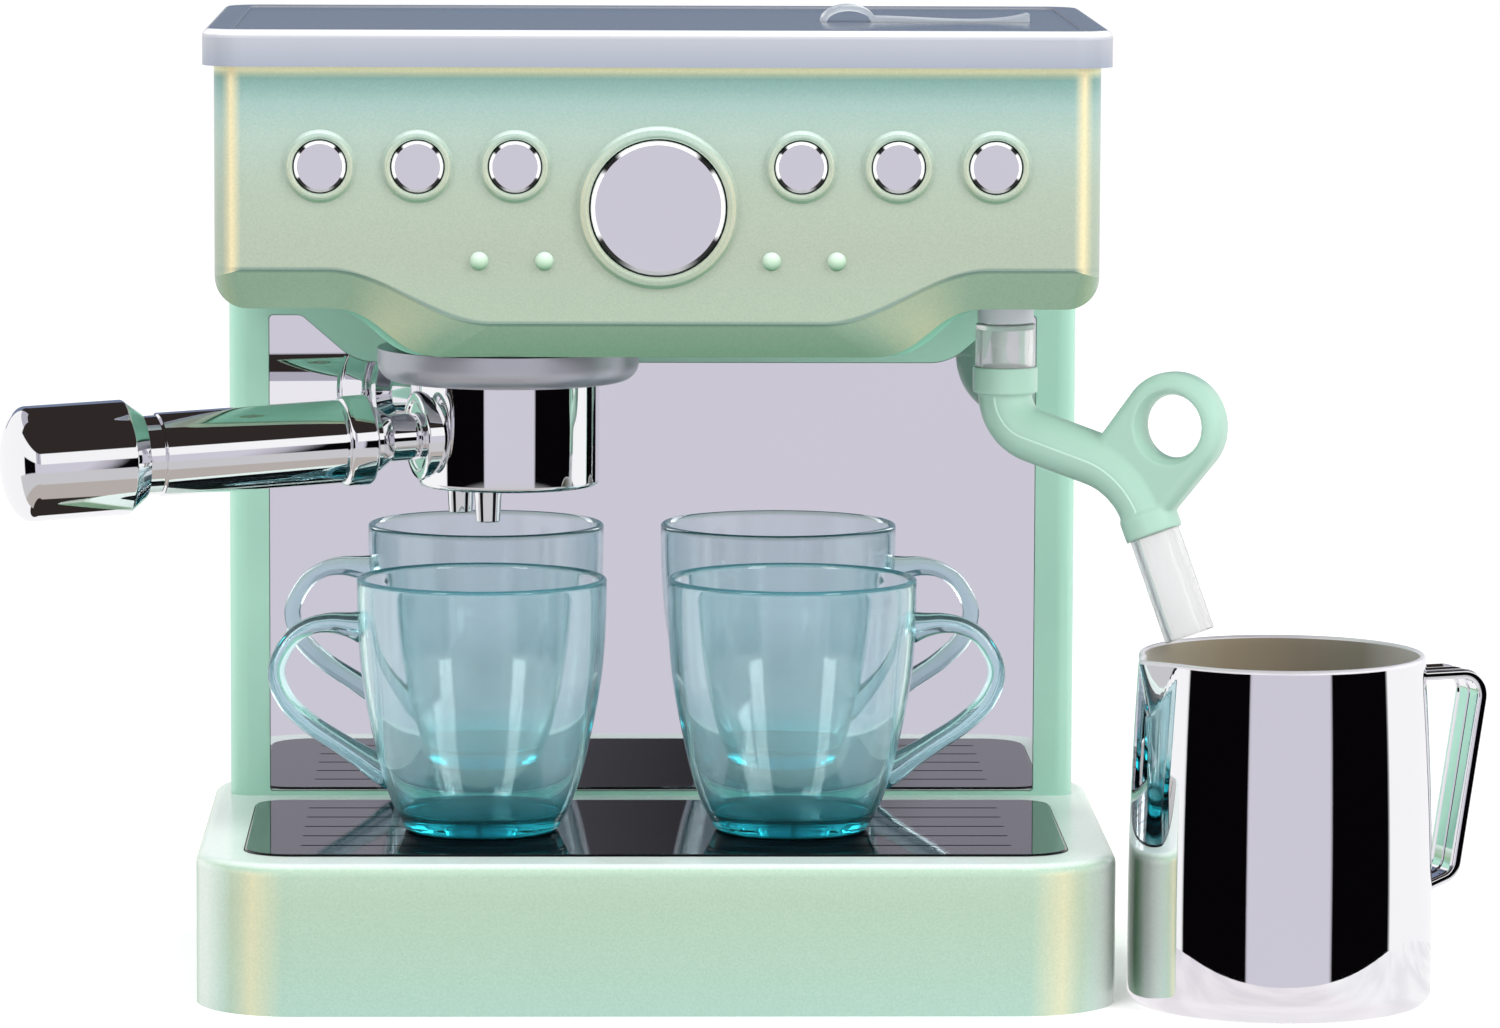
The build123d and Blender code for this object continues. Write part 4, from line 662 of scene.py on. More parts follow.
def swept(line, section_at, place):
    """Bar along a line in the XZ plane of its place, with closed ends.

    The section at a point of the line is (across, along the line's normal) points.
    """
    verts = []
    for number, here in enumerate(line):
        before, after = line[max(0, number - 1)], line[min(len(line) - 1, number + 1)]
        way = Vector((after[0] - before[0], after[1] - before[1])).normalized()
        section = section_at(here)
        for across, along in section:
            out = Vector((here[0] - way.y * along, across, here[1] + way.x * along))
            verts.append(place @ out)
    sides = len(section)
    faces = tube_faces(len(line), sides)
    faces.append(list(range(sides)))
    faces.append([len(verts) - sides + k for k in range(sides)])
    return verts, faces


def oval(half_width, half_thick, sides=24):
    """Section between an ellipse and a rectangle, for a swept bar."""
    section = []
    for k in range(sides):
        angle = 2 * pi * k / sides
        across = half_width * copysign(abs(sin(angle)) ** 0.8, sin(angle))
        section.append((across, half_thick * copysign(abs(cos(angle)) ** 0.8, cos(angle))))
    return section


def joined(*shapes):
    """Several shapes as one."""
    verts, faces = [], []
    for more_verts, more_faces in shapes:
        faces += [[corner + len(verts) for corner in face] for face in more_faces]
        verts += more_verts
    return verts, faces


def combined(base, others):
    """Mesh of a base object with others added or cut out, in order."""
    for other, operation in others:
        cut = base.modifiers.new("cut", "BOOLEAN")
        cut.operation = operation
        cut.object = other
        cut.solver = "EXACT"
    graph = bpy.context.evaluated_depsgraph_get()
    mesh = bpy.data.meshes.new_from_object(base.evaluated_get(graph))
    for obj in [base] + [other for other, _ in others]:
        bpy.data.objects.remove(obj)
    return mesh


# ---------------------------------------------------------------- buttons
# The head's front face lies this far before the origin. Shapes on it turn round the line of sight.
FRONT = 54.0
SELECT_X = (-87.4, -62.2, -37.0, 37.0, 62.2, 87.4)
SELECT_Z, BREW_Z = 218.0, 207.4
SELECT_CAP = dict(cap_r=6.7, proud=1.2, edge=0.8, flange_r=8.2, stem_r=2.0, stem_end=36.0)
BREW_CAP = dict(cap_r=17.45, proud=1.5, edge=1.1, flange_r=19.4, stem_r=4.5, stem_end=22.1)
SELECT_RING = dict(hole=7.08, edge=9.05, proud=1.2)
BREW_RING = dict(hole=18.05, edge=20.7, proud=1.5)
FLANGE_BACK, FLANGE_THICK = 2.55, 1.6
BUMP_X = (-46.3, -29.4, 29.4, 46.3)
BUMP_Z = 193.5
BUMP_R, BUMP_HIGH = 2.3, 1.9


def on_front(x_mm, z_mm):
    """Place whose Z leaves the head's front at a point."""
    return placed((x_mm, 0, z_mm), (0, -1, 0))


def button_profile(cap_r, proud, edge, flange_r, stem_r, stem_end):
    """Cap with a rounded edge, flange and stem, from the front to the back."""
    top = FRONT + proud
    flange = FRONT - FLANGE_BACK
    return rounded(
        [
            (0, top - 0.15),
            (cap_r * 0.6, top - 0.1),
            (cap_r - edge, top, 0.08),
            (cap_r, top - edge * 0.7, 0.1),
            (cap_r, flange),
            (flange_r, flange),
            (flange_r, flange - FLANGE_THICK),
            (stem_r, flange - FLANGE_THICK),
            (stem_r, stem_end),
            (0, stem_end),
        ]
    )


def ring_profile(hole, edge, proud):
    """Soft ring round a button."""
    top = FRONT + proud
    return rounded(
        [
            (hole, FRONT - 1),
            (hole, top - 0.1, 0.3),
            (hole + 0.8, top + 0.42, 0.7),
            (edge - 0.5, top, 0.8),
            (edge + 0.2, FRONT + 0.2, 0.5),
            (edge + 0.55, FRONT - 0.1),
            (edge + 0.55, FRONT - 1),
            (hole, FRONT - 1),
        ]
    )


caps = [
    (f"select_cap_{k}", f"small_button_{k}", f"select_button_{k}", x_mm, SELECT_Z, SELECT_CAP)
    for k, x_mm in enumerate(SELECT_X, start=1)
]
caps.append(("brew_cap", "large_button", "brew_button", 0, BREW_Z, BREW_CAP))
for name, body, node, x_mm, z_mm, size in caps:
    shape = lathe(button_profile(**size), on_front(x_mm, z_mm), 128)
    cap = make(name, *shape, [plated, recess_shade, bevel_reflection], body, [node], 25)
    # Faces behind the head's front take the recess's painted shade, and the cap's edge the painted
    # reflection.
    for face in cap.data.polygons:
        if face.center.y > (0.3 - FRONT) * MM:
            face.material_index = 1
        elif face.normal.y > -0.97:
            face.material_index = 2

# Soft rings round the buttons, and the indicator bumps, laid over the plainer moulded ones.
rings = [("brew_ring", 0, BREW_Z, BREW_RING)]
rings += [(f"select_ring_{k}", x, SELECT_Z, SELECT_RING) for k, x in enumerate(SELECT_X, start=1)]
for name, x_mm, z_mm, size in rings:
    shape = lathe(ring_profile(**size), on_front(x_mm, z_mm), 144)
    make(name, *shape, [pearl_trim], "machine", [], 80)
for number, x_mm in enumerate(BUMP_X, start=1):
    angles = [radians(9 * k) for k in range(10, -1, -1)]
    section = [(BUMP_R * cos(a), FRONT + 0.1 + BUMP_HIGH * sin(a)) for a in angles]
    section += [(2.6, FRONT - 0.1), (2.6, FRONT - 1), (0, FRONT - 1)]
    shape = lathe(section, on_front(x_mm, BUMP_Z), 64)
    make(f"bump_{number}", *shape, [bead], "machine", [], 80)

# The panel under the head sits a little higher than its solid, so that the lip covers its edge.
PANEL_RISE = 3.3
for name, node, surface in (
    ("underside_panel", "head_underside", shaded_mint_gloss),
    ("panel_screws", "underside_screws", steel),
):
    raised = nodes[node].data.copy()
    raised.transform(Matrix.Translation((0, 0, PANEL_RISE * MM)))
    raised.materials.clear()
    soften(dress(name, raised, [surface], "machine", [node], 35))

# ---------------------------------------------------------------- portafilter
GROUP = Vector((-39.0, -12.0, 0))
TURN, DROOP = radians(18), radians(2.2)
HANDLE_Z = 145.5
SPOUT_OUT, SPOUT_ASIDE, SPOUT_R = 9.4, 12.1, 3.8
GROOVE_DEPTH, GROOVE_HALF = 0.22, 0.15
LUG_OUT, LUG_Z, LUG_HALF = 25.6, 164.0, (3.2, 6.0, 1.4)
BASKET = [
    (0, 131.0),
    (24.2, 131.0, 1.4),
    (24.2, 165.4, 0.3),
    (22.6, 165.4, 0.3),
    (22.6, 133.2, 1.0),
    (0, 133.2),
]
BOSS = [
    (0, 15.0),
    (11.8, 15.0),
    (11.8, 25.6, 0.8),
    (9.4, 25.6, 0.4),
    (8.9, 24.9, 0.4),
    (6.3, 24.9),
    (6.3, 20.0),
    (0, 20.0),
]
SPOUT = [
    (0, 124.4),
    (1.9, 124.4),
    (1.9, 122.6, 0.25),
    (3.2, 122.6, 0.5),
    (SPOUT_R, 132.0),
    (0, 132.0),
]
GRIP = [
    (0, 21.0),
    (6.2, 21.0),
    (6.2, 33.2, 1.5),
    (8.6, 36.8, 0.5),
    (8.6, 38.6, 0.3),
    (11.9, 38.6, 1.2),
    (11.9, 45.8, 1.6),
    (10.6, 46.4, 0.4),
    (11.0, 47.4, 0.6),
    (11.0, 95.8, 0.4),
    (10.4, 96.4, 0.3),
    (10.4, 100.4),
    (8.0, 100.4),
    (8.0, 109.4),
    (0, 109.4),
]
KNOB_R, KNOB_END, KNOB_DOME = 15.1, 130.6, 6.8


def spout_grooves(angle):
    """Share of a spout's radius cut away at an angle, for its six grooves."""
    off = abs((angle / (pi / 3) + 0.5) % 1 - 0.5)
    return GROOVE_DEPTH * max(0.0, 1 - off / GROOVE_HALF)


handle_way = Vector((-cos(TURN) * cos(DROOP), -sin(TURN) * cos(DROOP), -sin(DROOP)))
along_handle = placed(GROUP + Vector((0, 0, HANDLE_Z)), handle_way)
aside = Vector((-sin(TURN), cos(TURN), 0))
spout_middle = GROUP + Vector((-cos(TURN), -sin(TURN), 0)) * SPOUT_OUT
spouts = [spout_middle + aside * (sign * SPOUT_ASIDE) for sign in (-1, 1)]
shapes = [lathe(rounded(BASKET), placed(GROUP)), lathe(rounded(BOSS), along_handle)]
for spout in spouts:
    shapes.append(lathe(rounded(SPOUT), placed(spout), 144, spout_grooves))
lug_turn = Matrix.Rotation(TURN + pi / 2, 3, "Z")
for sign in (-1, 1):
    centre = GROUP + aside * (sign * LUG_OUT) + Vector((0, 0, LUG_Z))
    lug = [
        (x * LUG_HALF[0], y * LUG_HALF[1], z * LUG_HALF[2])
        for z in (-1, 1)
        for x, y in ((-1, -1), (1, -1), (1, 1), (-1, 1))
    ]
    verts = [(centre + lug_turn @ Vector(corner)) * MM for corner in lug]
    faces = [(0, 1, 2, 3), (4, 5, 6, 7), (0, 1, 5, 4), (1, 2, 6, 5), (2, 3, 7, 6), (3, 0, 4, 7)]
    shapes.append((verts, faces))
surfaces = [plated, slot_shade]
basket = make("basket", *joined(*shapes), surfaces, "portafilter", ["portafilter_basket"], 60)
# The grooves of the spouts take the painted shade.
for face in basket.data.polygons:
    middle = face.center / MM
    for spout in spouts:
        off = middle - spout
        on_wall = middle.z < BASKET[0][1] and off.xy.length < SPOUT_R and abs(face.normal.z) < 0.5
        if on_wall and spout_grooves(atan2(off.y, off.x) % (2 * pi)) > 0.04:
            face.material_index = 1

shape = lathe(rounded(GRIP), along_handle)
make("grip", *shape, [plated], "portafilter", ["portafilter_handle"], 60)
knob = rounded([(10.6, 100.5), (11.6, 100.5, 0.4), (KNOB_R, 105.2, 1.2), (KNOB_R, KNOB_END)])[:-1]
for k in range(31):
    angle = radians(3 * k)
    knob.append(Vector((KNOB_R * cos(angle), KNOB_END + KNOB_DOME * sin(angle))))
shape = lathe(knob, along_handle)
make("end_knob", *shape, [plated], "portafilter", ["handle_end_cap"], 60)

# ---------------------------------------------------------------- cups
CUP_SIDE = [
    (20.8, 1.2),
    (21.4, 2.6),
    (24.1, 8.0),
    (26.7, 15.8),
    (28.8, 24.8),
    (30.6, 33.4),
    (32.0, 43.0),
    (32.8, 54.6),
    (33.05, 67.2),
]
CUP_R, CUP_TALL = CUP_SIDE[-1]
CUP_WALL, CUP_FLOOR = 1.9, 5.0
# Line of a cup's handle, with half its thickness as the third number.
CUP_HANDLE = [
    (27.5, 53.0, 4.6),
    (31.2, 53.8, 4.4),
    (35.6, 54.6, 3.2),
    (40.5, 55.0, 2.6),
    (45.8, 53.9, 2.2),
    (50.7, 50.3, 2.2),
    (54.3, 42.6, 2.3),
    (51.9, 34.7, 2.5),
    (45.6, 28.3, 2.6),
    (38.1, 23.3, 2.7),
    (31.8, 19.3, 3.1),
    (27.6, 16.6, 3.8),
    (23.0, 13.8, 4.0),
]
CUP_HANDLE_HALF_WIDTH = 3.4
CUP_Y, CUP_Z = -21.4, 40.1

at_origin = placed((0, 0, 0))
outer = smooth_run(CUP_SIDE)
inner = [Vector((p.x - CUP_WALL, p.y)) for p in outer if p.y > 7.5]
full = [Vector((0, 0)), Vector((19.4, 0)), Vector((20.3, 0.4))] + outer[:-1]
full += rounded([tuple(outer[-2]), (CUP_R, CUP_TALL, 0.85), (32.2, CUP_TALL)])[1:]
full.append(Vector((0, CUP_TALL)))
hollow = rounded([(0, CUP_FLOOR), (inner[0].x - 1.2, CUP_FLOOR, 2.2), tuple(inner[1])])[:-1]
hollow += inner[1:-1]
hollow += [Vector((31.2, 66.4)), Vector((31.7, 67.0)), Vector((32.3, 67.6)), Vector((0, 67.6))]
solid_cup = make("cup_body", *lathe(full, at_origin, 144), [teal], None, [])
loop = swept(
    smooth_run(CUP_HANDLE), lambda here: oval(CUP_HANDLE_HALF_WIDTH, here[2]), at_origin
)
solid_loop = make("cup_loop", *loop, [teal], None, [])
solid_hollow = make("cup_hollow", *lathe(hollow, at_origin, 144), [teal], None, [])
cup_mesh = combined(solid_cup, [(solid_loop, "UNION"), (solid_hollow, "DIFFERENCE")])
for name, body, x_mm, turned in (
    ("cup_left", "left_cup", -45.9, pi),
    ("cup_right", "right_cup", 36.1, 0),
):
    mesh = cup_mesh.copy()
    spot = Vector((x_mm, CUP_Y, CUP_Z)) * MM
    mesh.transform(Matrix.Translation(spot) @ Matrix.Rotation(turned, 4, "Z"))
    mesh.materials.clear()
    dress(name + "_clear", mesh, [teal], body, [name], 40)

# ---------------------------------------------------------------- milk jug
JUG = Vector((163.2, -52.8, 0))
JUG_FOOT_R, JUG_FOOT_ROUND = 39.7, 3
JUG_FLOOR_R, JUG_FLOOR_Z = 35.6, 2.4
JUG_RIM_R, JUG_RIM_Z, JUG_RIM_ROUND = 37.4, 90.6, 0.8
JUG_WALL = 2 * JUG_RIM_ROUND
# The pouring beak: its direction and half its angle, then the height where it starts, how tall it
# is and how far it stands out.
BEAK, BEAK_HALF = radians(22), radians(17.5)
BEAK_START_Z, BEAK_TALL, BEAK_OUT = 73.4, 18, 4.8


def jug_wall(height):
    """Outer radius of the jug at a height: bellied below, drawn in to the rim."""
    share = (height - 21.5) / 70
    return 39.75 - 2.35 * max(0, share) ** 2 - 0.05 * abs(share)


def jug_reach(angle, height, inset):
    """Radius in a direction, with the pouring beak that grows towards the rim."""
    wall = jug_wall(height) - inset
    tip = JUG_RIM_R + BEAK_OUT * (height - BEAK_START_Z) / BEAK_TALL - inset * 1.12
    if tip <= wall:
        return wall
    half = BEAK_HALF * min(1, (tip - wall) / BEAK_OUT) ** 0.7
    if angle >= half:
        return wall
    soft = (angle * angle + 0.0009) ** 0.5
    ridge = (tip - wall * cos(half)) * sin(soft) + wall * sin(half) * cos(soft)
    return max(wall, tip * wall * sin(half) / ridge)


# Rings of the jug from its foot over the rim to its floor. Each has a height, and a plain radius or
# an inset from the outer wall.
sections = []
for degrees in range(0, 90, 15):
    angle = radians(degrees)
    out = JUG_FOOT_R - JUG_FOOT_ROUND + JUG_FOOT_ROUND * sin(angle)
    sections.append(("radius", out, JUG_FOOT_ROUND - JUG_FOOT_ROUND * cos(angle)))
for k in range(48):
    sections.append(("inset", 0.0, JUG_FOOT_ROUND + (JUG_RIM_Z - JUG_FOOT_ROUND) * k / 48))
sections += [("inset", 0.0, JUG_RIM_Z - 0.25), ("inset", 0.0, JUG_RIM_Z)]
for degrees in range(20, 180, 20):
    angle = radians(degrees)
    inset = JUG_RIM_ROUND - JUG_RIM_ROUND * cos(angle)
    sections.append(("inset", inset, JUG_RIM_Z + JUG_RIM_ROUND * sin(angle)))
for k in range(37):
    sections.append(("inset", JUG_WALL, JUG_RIM_Z - (JUG_RIM_Z - 4.4) * k / 36))
sections += [("radius", 37.2, 2.8), ("radius", JUG_FLOOR_R, JUG_FLOOR_Z)]

# Directions from the beak's middle in degrees, close together round the beak.
directions = [-25 + 0.5 * k for k in range(101)] + [27 + 2 * k for k in range(154)]
verts, count = [], len(directions)
for kind, value, height in sections:
    for direction in directions:
        angle = radians(direction)
        off = abs((angle + pi) % (2 * pi) - pi)
        radius = value if kind == "radius" else jug_reach(off, height, value)
        way = angle + pi + BEAK
        verts.append((JUG + Vector((radius * cos(way), radius * sin(way), height))) * MM)
faces = tube_faces(len(sections), count)
verts += [JUG * MM, (JUG + Vector((0, 0, JUG_FLOOR_Z))) * MM]
last = (len(sections) - 1) * count
for k in range(count):
    faces.append([len(verts) - 2, (k + 1) % count, k])
    faces.append([len(verts) - 1, last + k, last + (k + 1) % count])
surfaces = [plated, inside_plated, jug_rim_highlight]
jug = make("jug_shell", verts, faces, surfaces, "milk_jug", ["jug_body"], 60)
for face in jug.data.polygons:
    middle = face.center / MM
    off = middle.xy - JUG.xy
    inside = face.normal.xy.dot(off) < 0 or off.length < JUG_FLOOR_R
    if 2 < middle.z < JUG_RIM_Z + 0.4 and inside:
        face.material_index = 1
    # The top of the rim takes the painted highlight.
    if middle.z > JUG_RIM_Z - 0.15:
        face.material_index = 2

# The handle's strap: a flat web between two rounded edges, with a low ridge along its middle.
bend = rounded([(37.2, 84.1), (57.3, 84.1, 6.0), (48.6, 31.0, 5.0), (38.9, 27.55)], 16)
rod = []
for k in range(-6, 6):
    angle = radians(15 * k + 7.5)
    rod.append((6.25 + 0.75 * cos(angle), 0.55 * copysign(1, angle) + 0.75 * sin(angle)))
half = [(0.25, -1.2), (0.45, -0.85), (4.9, -0.85), (5.3, -1.3)] + rod
half += [(5.3, 1.3), (4.9, 0.85), (0.45, 0.85), (0.25, 1.2)]
strap_section = half + [(-across, along) for across, along in half[::-1]]
jug_place = placed(JUG) @ Matrix.Rotation(BEAK, 4, "Z")
strap = swept(bend, lambda here: strap_section, jug_place)
make("jug_band", *strap, [plated], "milk_jug", ["jug_handle"], 40)

# ---------------------------------------------------------------- wand
WAND = Vector((92.4, -16.0, 0))
SWING = radians(28)
ELBOW_TOP = 163.0
TIP_OUT, TIP_Z = 43.5, 120.5
# Direction of the lower tube, outwards along the wand and upwards, and its depth in the elbow.
TIP_WAY, TIP_DEPTH = (0.3684, -0.9297), 5
RING_OUT, RING_Z = 48.95, ELBOW_TOP - 13.6
LOWER_TUBE = [(5.2, 0.1), (6.75, 0.1, 0.3), (6.75, 33.1, 0.4), (5.2, 33.1, 0.4), (5.2, 0.1)]
UPPER_TUBE = [
    (6.25, 158.1),
    (7.9, 158.1),
    (7.9, 174.3, 0.5),
    (5.4, 174.3),
    (5.4, 182.5),
    (6.4, 182.5, 0.3),
    (5.8, 184.1, 0.3),
    (0, 184.1),
    (0, 172.7),
    (6.25, 172.7),
    (6.25, 158.1),
]
SEAM = [(0, -4.0), (0, -15.8, 11.5), (37.2, -26.6, 24.0), (43.0, -41.0)]
SEAM_SECTION = [(-6.6, -0.7), (-7.08, -0.36), (-7.22, 0), (-7.08, 0.36), (-6.6, 0.7)]

wand_way = Vector((cos(SWING), -sin(SWING), 0))
elbow_tip = WAND + Vector((0, 0, TIP_Z)) + wand_way * TIP_OUT
tip_way = wand_way * TIP_WAY[0] + Vector((0, 0, TIP_WAY[1]))
shape = lathe(rounded(LOWER_TUBE), placed(elbow_tip - tip_way * TIP_DEPTH, tip_way), 96)
make("lower_tube", *shape, [milky], "steam_wand", ["wand_lower_tube"])
shape = lathe(rounded(UPPER_TUBE), placed(WAND), 96)
make("upper_tube", *shape, [milky], "steam_wand", ["wand_upper_tube"])

# The elbow's solid and a rounded sleeve in its finger ring, blended into one soft moulding.
sleeve = [(11.2, -3.9), (9.8, -3.9)]
for k in range(-4, 5):
    angle = radians(15 * k)
    sleeve.append((10.2 - 2.0 * cos(angle), 4.0 * sin(angle)))
sleeve += [(9.8, 3.9), (11.2, 3.9), (11.2, -3.9)]
ring_at = WAND + Vector((0, 0, RING_Z)) + wand_way * RING_OUT
verts, faces = lathe(sleeve, placed(ring_at, (sin(SWING), cos(SWING), 0)), 96)
sleeve_mesh = bpy.data.meshes.new("sleeve")
sleeve_mesh.from_pydata(verts, [], faces)
elbow_mesh = nodes["wand_elbow"].data.copy()
elbow_mesh.materials.clear()
both = bmesh.new()
both.from_mesh(elbow_mesh)
both.from_mesh(sleeve_mesh)
both.to_mesh(elbow_mesh)
both.free()
elbow = dress("elbow", elbow_mesh, [mint], "steam_wand", ["wand_elbow"], 80)
remesh = elbow.modifiers.new("blend", "REMESH")
remesh.mode = "VOXEL"
remesh.voxel_size = 0.45 * MM
remesh.use_smooth_shade = True
smooth = elbow.modifiers.new("smooth", "SMOOTH")
smooth.factor = 0.5
smooth.iterations = 5
wand_plane = placed(WAND + Vector((0, 0, ELBOW_TOP))) @ Matrix.Rotation(-SWING, 4, "Z")
# A mould seam on the front of the elbow, in the lighter mint of its painted highlight.
seam = swept(rounded(SEAM, 24), lambda here: SEAM_SECTION, wand_plane)
make("elbow_seam", *seam, [seam_highlight_mint], "steam_wand", [], 80)


# ---------------------------------------------------------------- studio
def plane(name, corners, surface):
    """Flat card or floor of the studio."""
    mesh = bpy.data.meshes.new(name)
    mesh.from_pydata([Vector(c) for c in corners], [], [tuple(range(len(corners)))])
    obj = bpy.data.objects.new(name, mesh)
    scene.collection.objects.link(obj)
    obj.data.materials.append(surface)
    return obj


def only_reflected(obj):
    """Leaves an object to mirrors alone."""
    for kind in ("camera", "diffuse", "transmission", "shadow"):
        setattr(obj, "visible_" + kind, False)


floor_white, n = new_material("floor_white")
tone = n.ramp(surface_noise(n, 3.0), [(0.3, grey(0.93)), (0.7, grey(0.95))])
bsdf = n.add(
    "ShaderNodeBsdfPrincipled",
    Base_Color=tone,
    Roughness=0.8,
    Specular_IOR_Level=0.1,
    Emission_Color=(1, 1, 1, 1),
    Emission_Strength=0.25,
)
n.add("ShaderNodeOutputMaterial", Surface=bsdf.outputs[0])

# The floor that the jug mirrors, which ends a hand's breadth in front of it.
GLOW_AT = (0.163, -0.053)
GLOW_HALF = (0.14, 0.094)
floor_glow, n = new_material("floor_glow")
place = n.add("ShaderNodeTexCoord").outputs["Object"]
away = n.add("ShaderNodeVectorMath", {"operation": "DISTANCE"}, Vector=place)
away.inputs[1].default_value = (*GLOW_AT, 0)
fade = n.ramp(
    n.math("DIVIDE", away.outputs["Value"], 0.12),
    [(0.33, srgb(253, 250, 251)), (0.6, srgb(246, 240, 243)), (1.0, srgb(243, 239, 243))],
)
rightward = n.add("ShaderNodeSeparateXYZ", Vector=place).outputs[0]
past = n.add("ShaderNodeMapRange", Value=rightward, From_Min=0.185, From_Max=0.215).outputs[0]
fade = n.mix(past, fade, (1, 1, 1, 1))
dim = (0.88, 0.88, 0.9, 1)
streaks = n.ramp(surface_noise(n, 60.0, 3.0, (0.3, 1, 1)), [(0.35, dim), (0.6, (1, 1, 1, 1))])
glow = n.add("ShaderNodeEmission", Color=n.mix(1.0, fade, streaks, "MULTIPLY"), Strength=1.0)
n.add("ShaderNodeOutputMaterial", Surface=glow.outputs[0])

card_white, n = new_material("card_white")
glow = n.add("ShaderNodeEmission", Color=(1, 1, 1, 1), Strength=1.0)
n.add("ShaderNodeOutputMaterial", Surface=glow.outputs[0])

floor = plane("floor", [(-4, -4, 0), (4, -4, 0), (4, 6, 0), (-4, 6, 0)], floor_white)
floor.visible_glossy = False
floor.visible_transmission = False
ellipse = []
for k in range(120):
    angle = radians(3 * k)
    x, y = GLOW_AT[0] + GLOW_HALF[0] * cos(angle), GLOW_AT[1] + GLOW_HALF[1] * sin(angle)
    ellipse.append((x, y, 0.00002))
only_reflected(plane("floor_near", ellipse, floor_glow))
# A white card behind the object.
CARD_HALF, CARD_Y, CARD_TALL = 0.5, 0.6, 0.255
corners = [(x * CARD_HALF, CARD_Y, z * CARD_TALL) for x, z in ((-1, 0), (1, 0), (1, 1), (-1, 1))]
only_reflected(plane("card", corners, card_white))

# ---------------------------------------------------------------- world
WHITE = (1.0, 1.0, 1.0, 1)
LAVENDER = srgb(212, 209, 220)
DIM = srgb(186, 184, 195)
FLAG = (0.002, 0.0015, 0.002, 1)
GREY = (0.62, 0.62, 0.63, 1)
BEIGE = (0.5, 0.455, 0.42, 1)
ROOM = (0.03, 0.024, 0.022, 1)
BACK = srgb(120, 132, 156)
THROUGH_TINT = (0.10, 0.19, 0.22, 1)
ON, OFF = WHITE, (0, 0, 0, 1)

world = bpy.data.worlds.new("studio")
scene.world = world
world.use_nodes = True
n = Nodes(world.node_tree)
ray = n.add("ShaderNodeLightPath")
x, y, z = axes(n, "Generated")
# In degrees: the angle round the object, 0 towards the camera and growing to the right, and the
# angle above the floor.
turn = n.math("MULTIPLY", n.math("ARCTAN2", x, n.math("MULTIPLY", y, -1.0)), 180 / pi)
rise = n.math("MULTIPLY", n.math("ARCSINE", z), 180 / pi)


def steps(angle, stops):
    """Colours in steps over an angle, each up to its limit, with soft edges of about a degree.

    The last limit is also the end of the angle's own scale, which is as long below zero.
    """
    end, soft = stops[-1][0], 0.6
    places = [(0.0, stops[0][1])]
    for (limit, before), (_, after) in zip(stops, stops[1:]):
        places.append(((limit + end - soft) / (2 * end), before))
        places.append(((limit + end + soft) / (2 * end), after))
    return n.ramp(n.math("DIVIDE", n.math("ADD", angle, end), 2 * end), places)


# What mirrors see towards the camera: the flags, with the bench under them and the room above.
flags = steps(turn, [(-84, WHITE), (-30, FLAG), (34.0, LAVENDER), (86, FLAG), (180, WHITE)])
bench = steps(rise, [(-66, ROOM), (-36, BEIGE), (90, GREY)])
upper = steps(turn, [(-20, WHITE), (-0.3, DIM), (1.9, FLAG), (20, DIM), (180, WHITE)])
front = n.mix(steps(rise, [(-13.5, ON), (90, OFF)]), flags, bench)
front = n.mix(steps(rise, [(3.5, OFF), (90, ON)]), front, upper)
front = n.mix(steps(rise, [(24, OFF), (90, ON)]), front, ROOM)
# What they see to the sides and to the back.
side = steps(rise, [(-55, ROOM), (34, WHITE), (58, DIM), (90, ROOM)])
back = steps(rise, [(-55, ROOM), (2, WHITE), (30, BACK), (90, ROOM)])
rear = n.mix(steps(turn, [(-150, ON), (150, OFF), (180, ON)]), side, back)
studio = n.mix(steps(turn, [(-100, ON), (90, OFF), (180, ON)]), front, rear)
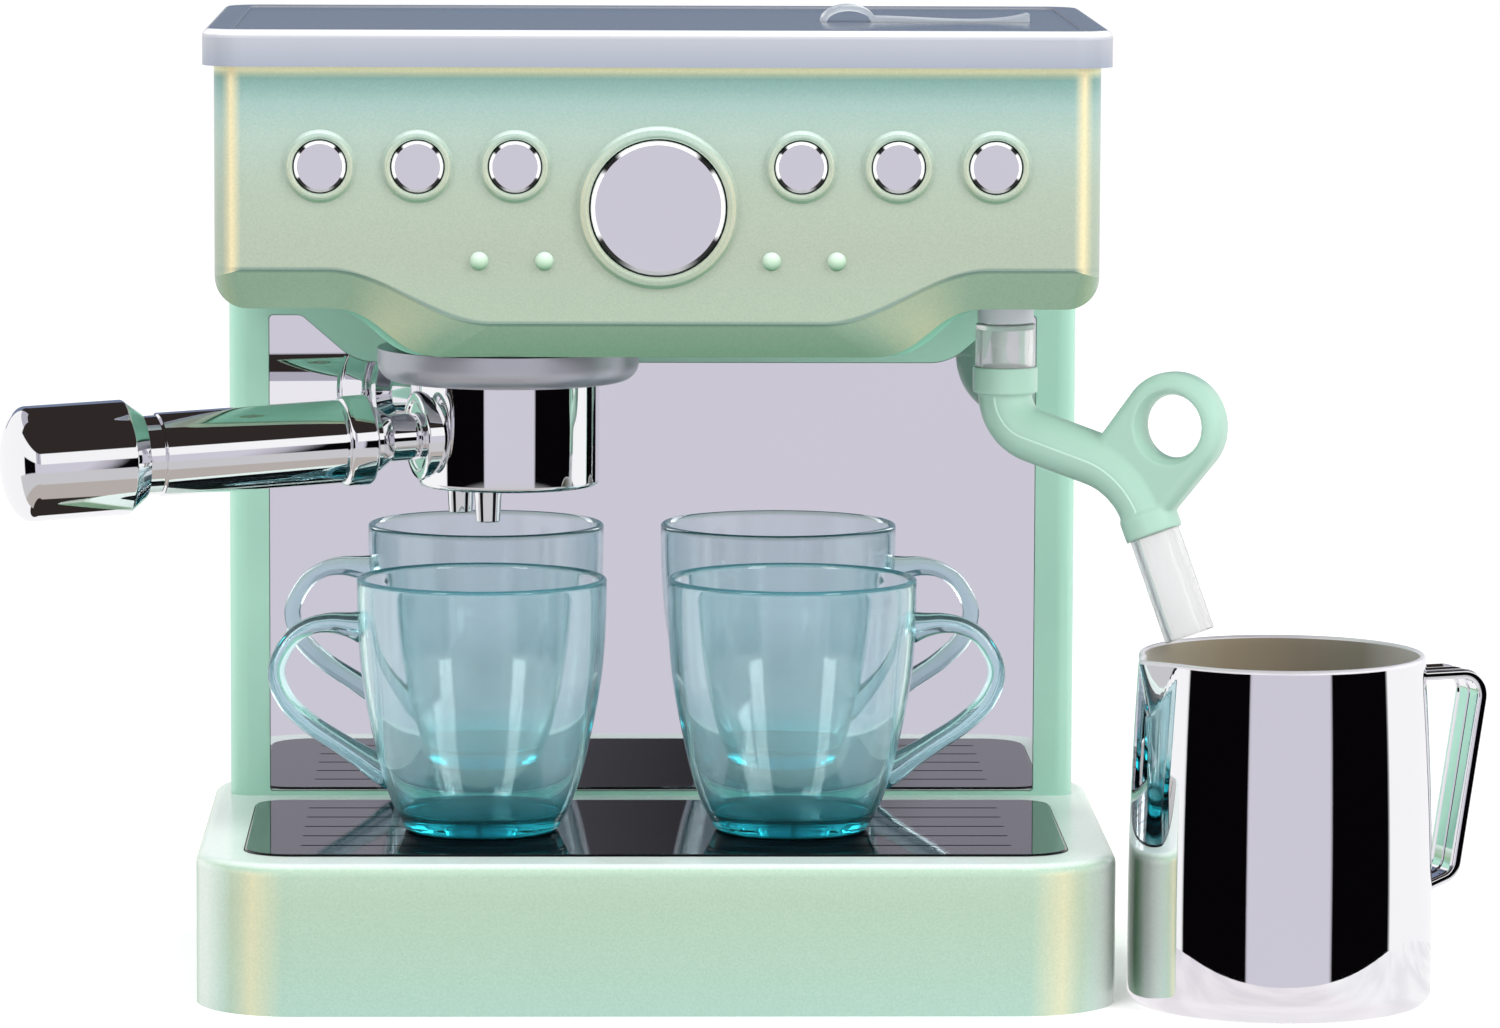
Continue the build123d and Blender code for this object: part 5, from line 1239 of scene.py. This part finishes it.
# Light that has crossed clear plastic keeps some of its tint instead of going black.
through_ray = ray.outputs["Is Transmission Ray"]
shown = n.mix(through_ray, studio, n.mix(1.0, studio, THROUGH_TINT, "LIGHTEN"))
lit = n.add("ShaderNodeBackground", Color=WHITE, Strength=0.8)
reflected = n.add("ShaderNodeBackground", Color=shown, Strength=1.0)
seen = n.add("ShaderNodeBackground", Color=WHITE, Strength=1.05)
reflects = n.math("MAXIMUM", ray.outputs["Is Glossy Ray"], through_ray)
behind = n.math("MULTIPLY", through_ray, n.math("GREATER_THAN", y, 0.0))
seen_directly = n.math("MAXIMUM", ray.outputs["Is Camera Ray"], behind)
indirect = n.blend(reflects, lit.outputs[0], reflected.outputs[0])
n.add("ShaderNodeOutputWorld", Surface=n.blend(seen_directly, indirect, seen.outputs[0]))


# ---------------------------------------------------------------- lamps
def softbox(name, place, target, size, power):
    """Area lamp that faces a target."""
    data = bpy.data.lights.new(name, "AREA")
    data.shape = "RECTANGLE"
    data.size, data.size_y = size
    data.energy = power
    obj = bpy.data.objects.new(name, data)
    obj.location = place
    obj.rotation_euler = (Vector(target) - Vector(place)).to_track_quat("-Z", "Y").to_euler()
    scene.collection.objects.link(obj)
    return obj


for lamp in (
    softbox("key", (-1.5, -2.2, 3.0), (0, 0, 0.1), (1.6, 1.6), 56.0),
    softbox("fill", (2.2, -1.5, 1.5), (0, 0, 0.1), (1.0, 1.6), 42.0),
):
    lamp.visible_glossy = False
# Two strip lights that only the cups show.
cups_only = bpy.data.collections.new("cups_only")
for obj in scene.objects:
    if obj.name.startswith("cup_"):
        cups_only.objects.link(obj)
for name, x in (("strip_left", -0.72), ("strip_right", 0.64)):
    strip = softbox(name, (x, -0.85, 0.56), (-0.005, -0.03, 0.06), (0.3, 0.8), 4.6)
    strip.light_linking.receiver_collection = cups_only

# ---------------------------------------------------------------- camera
CAMERA_AT = (-0.02689, -2.03163, 0.35105)
YAW, PITCH, ROLL = radians(-1.4757), radians(6.4392), radians(-0.223)
forward = Vector((-sin(YAW) * cos(PITCH), cos(YAW) * cos(PITCH), -sin(PITCH)))
level = Vector((cos(YAW), sin(YAW), 0))
down = forward.cross(level)
right = level * cos(ROLL) + down * sin(ROLL)
down = down * cos(ROLL) - level * sin(ROLL)
camera_data = bpy.data.cameras.new("camera")
camera_data.sensor_width = 36
camera_data.lens = 183.88
camera_data.clip_end = 50
camera = bpy.data.objects.new("camera", camera_data)
turned = Matrix((right, -down, -forward)).transposed().to_4x4()
camera.matrix_world = Matrix.Translation(CAMERA_AT) @ turned
scene.collection.objects.link(camera)
scene.camera = camera
scene.view_settings.view_transform = "Standard"
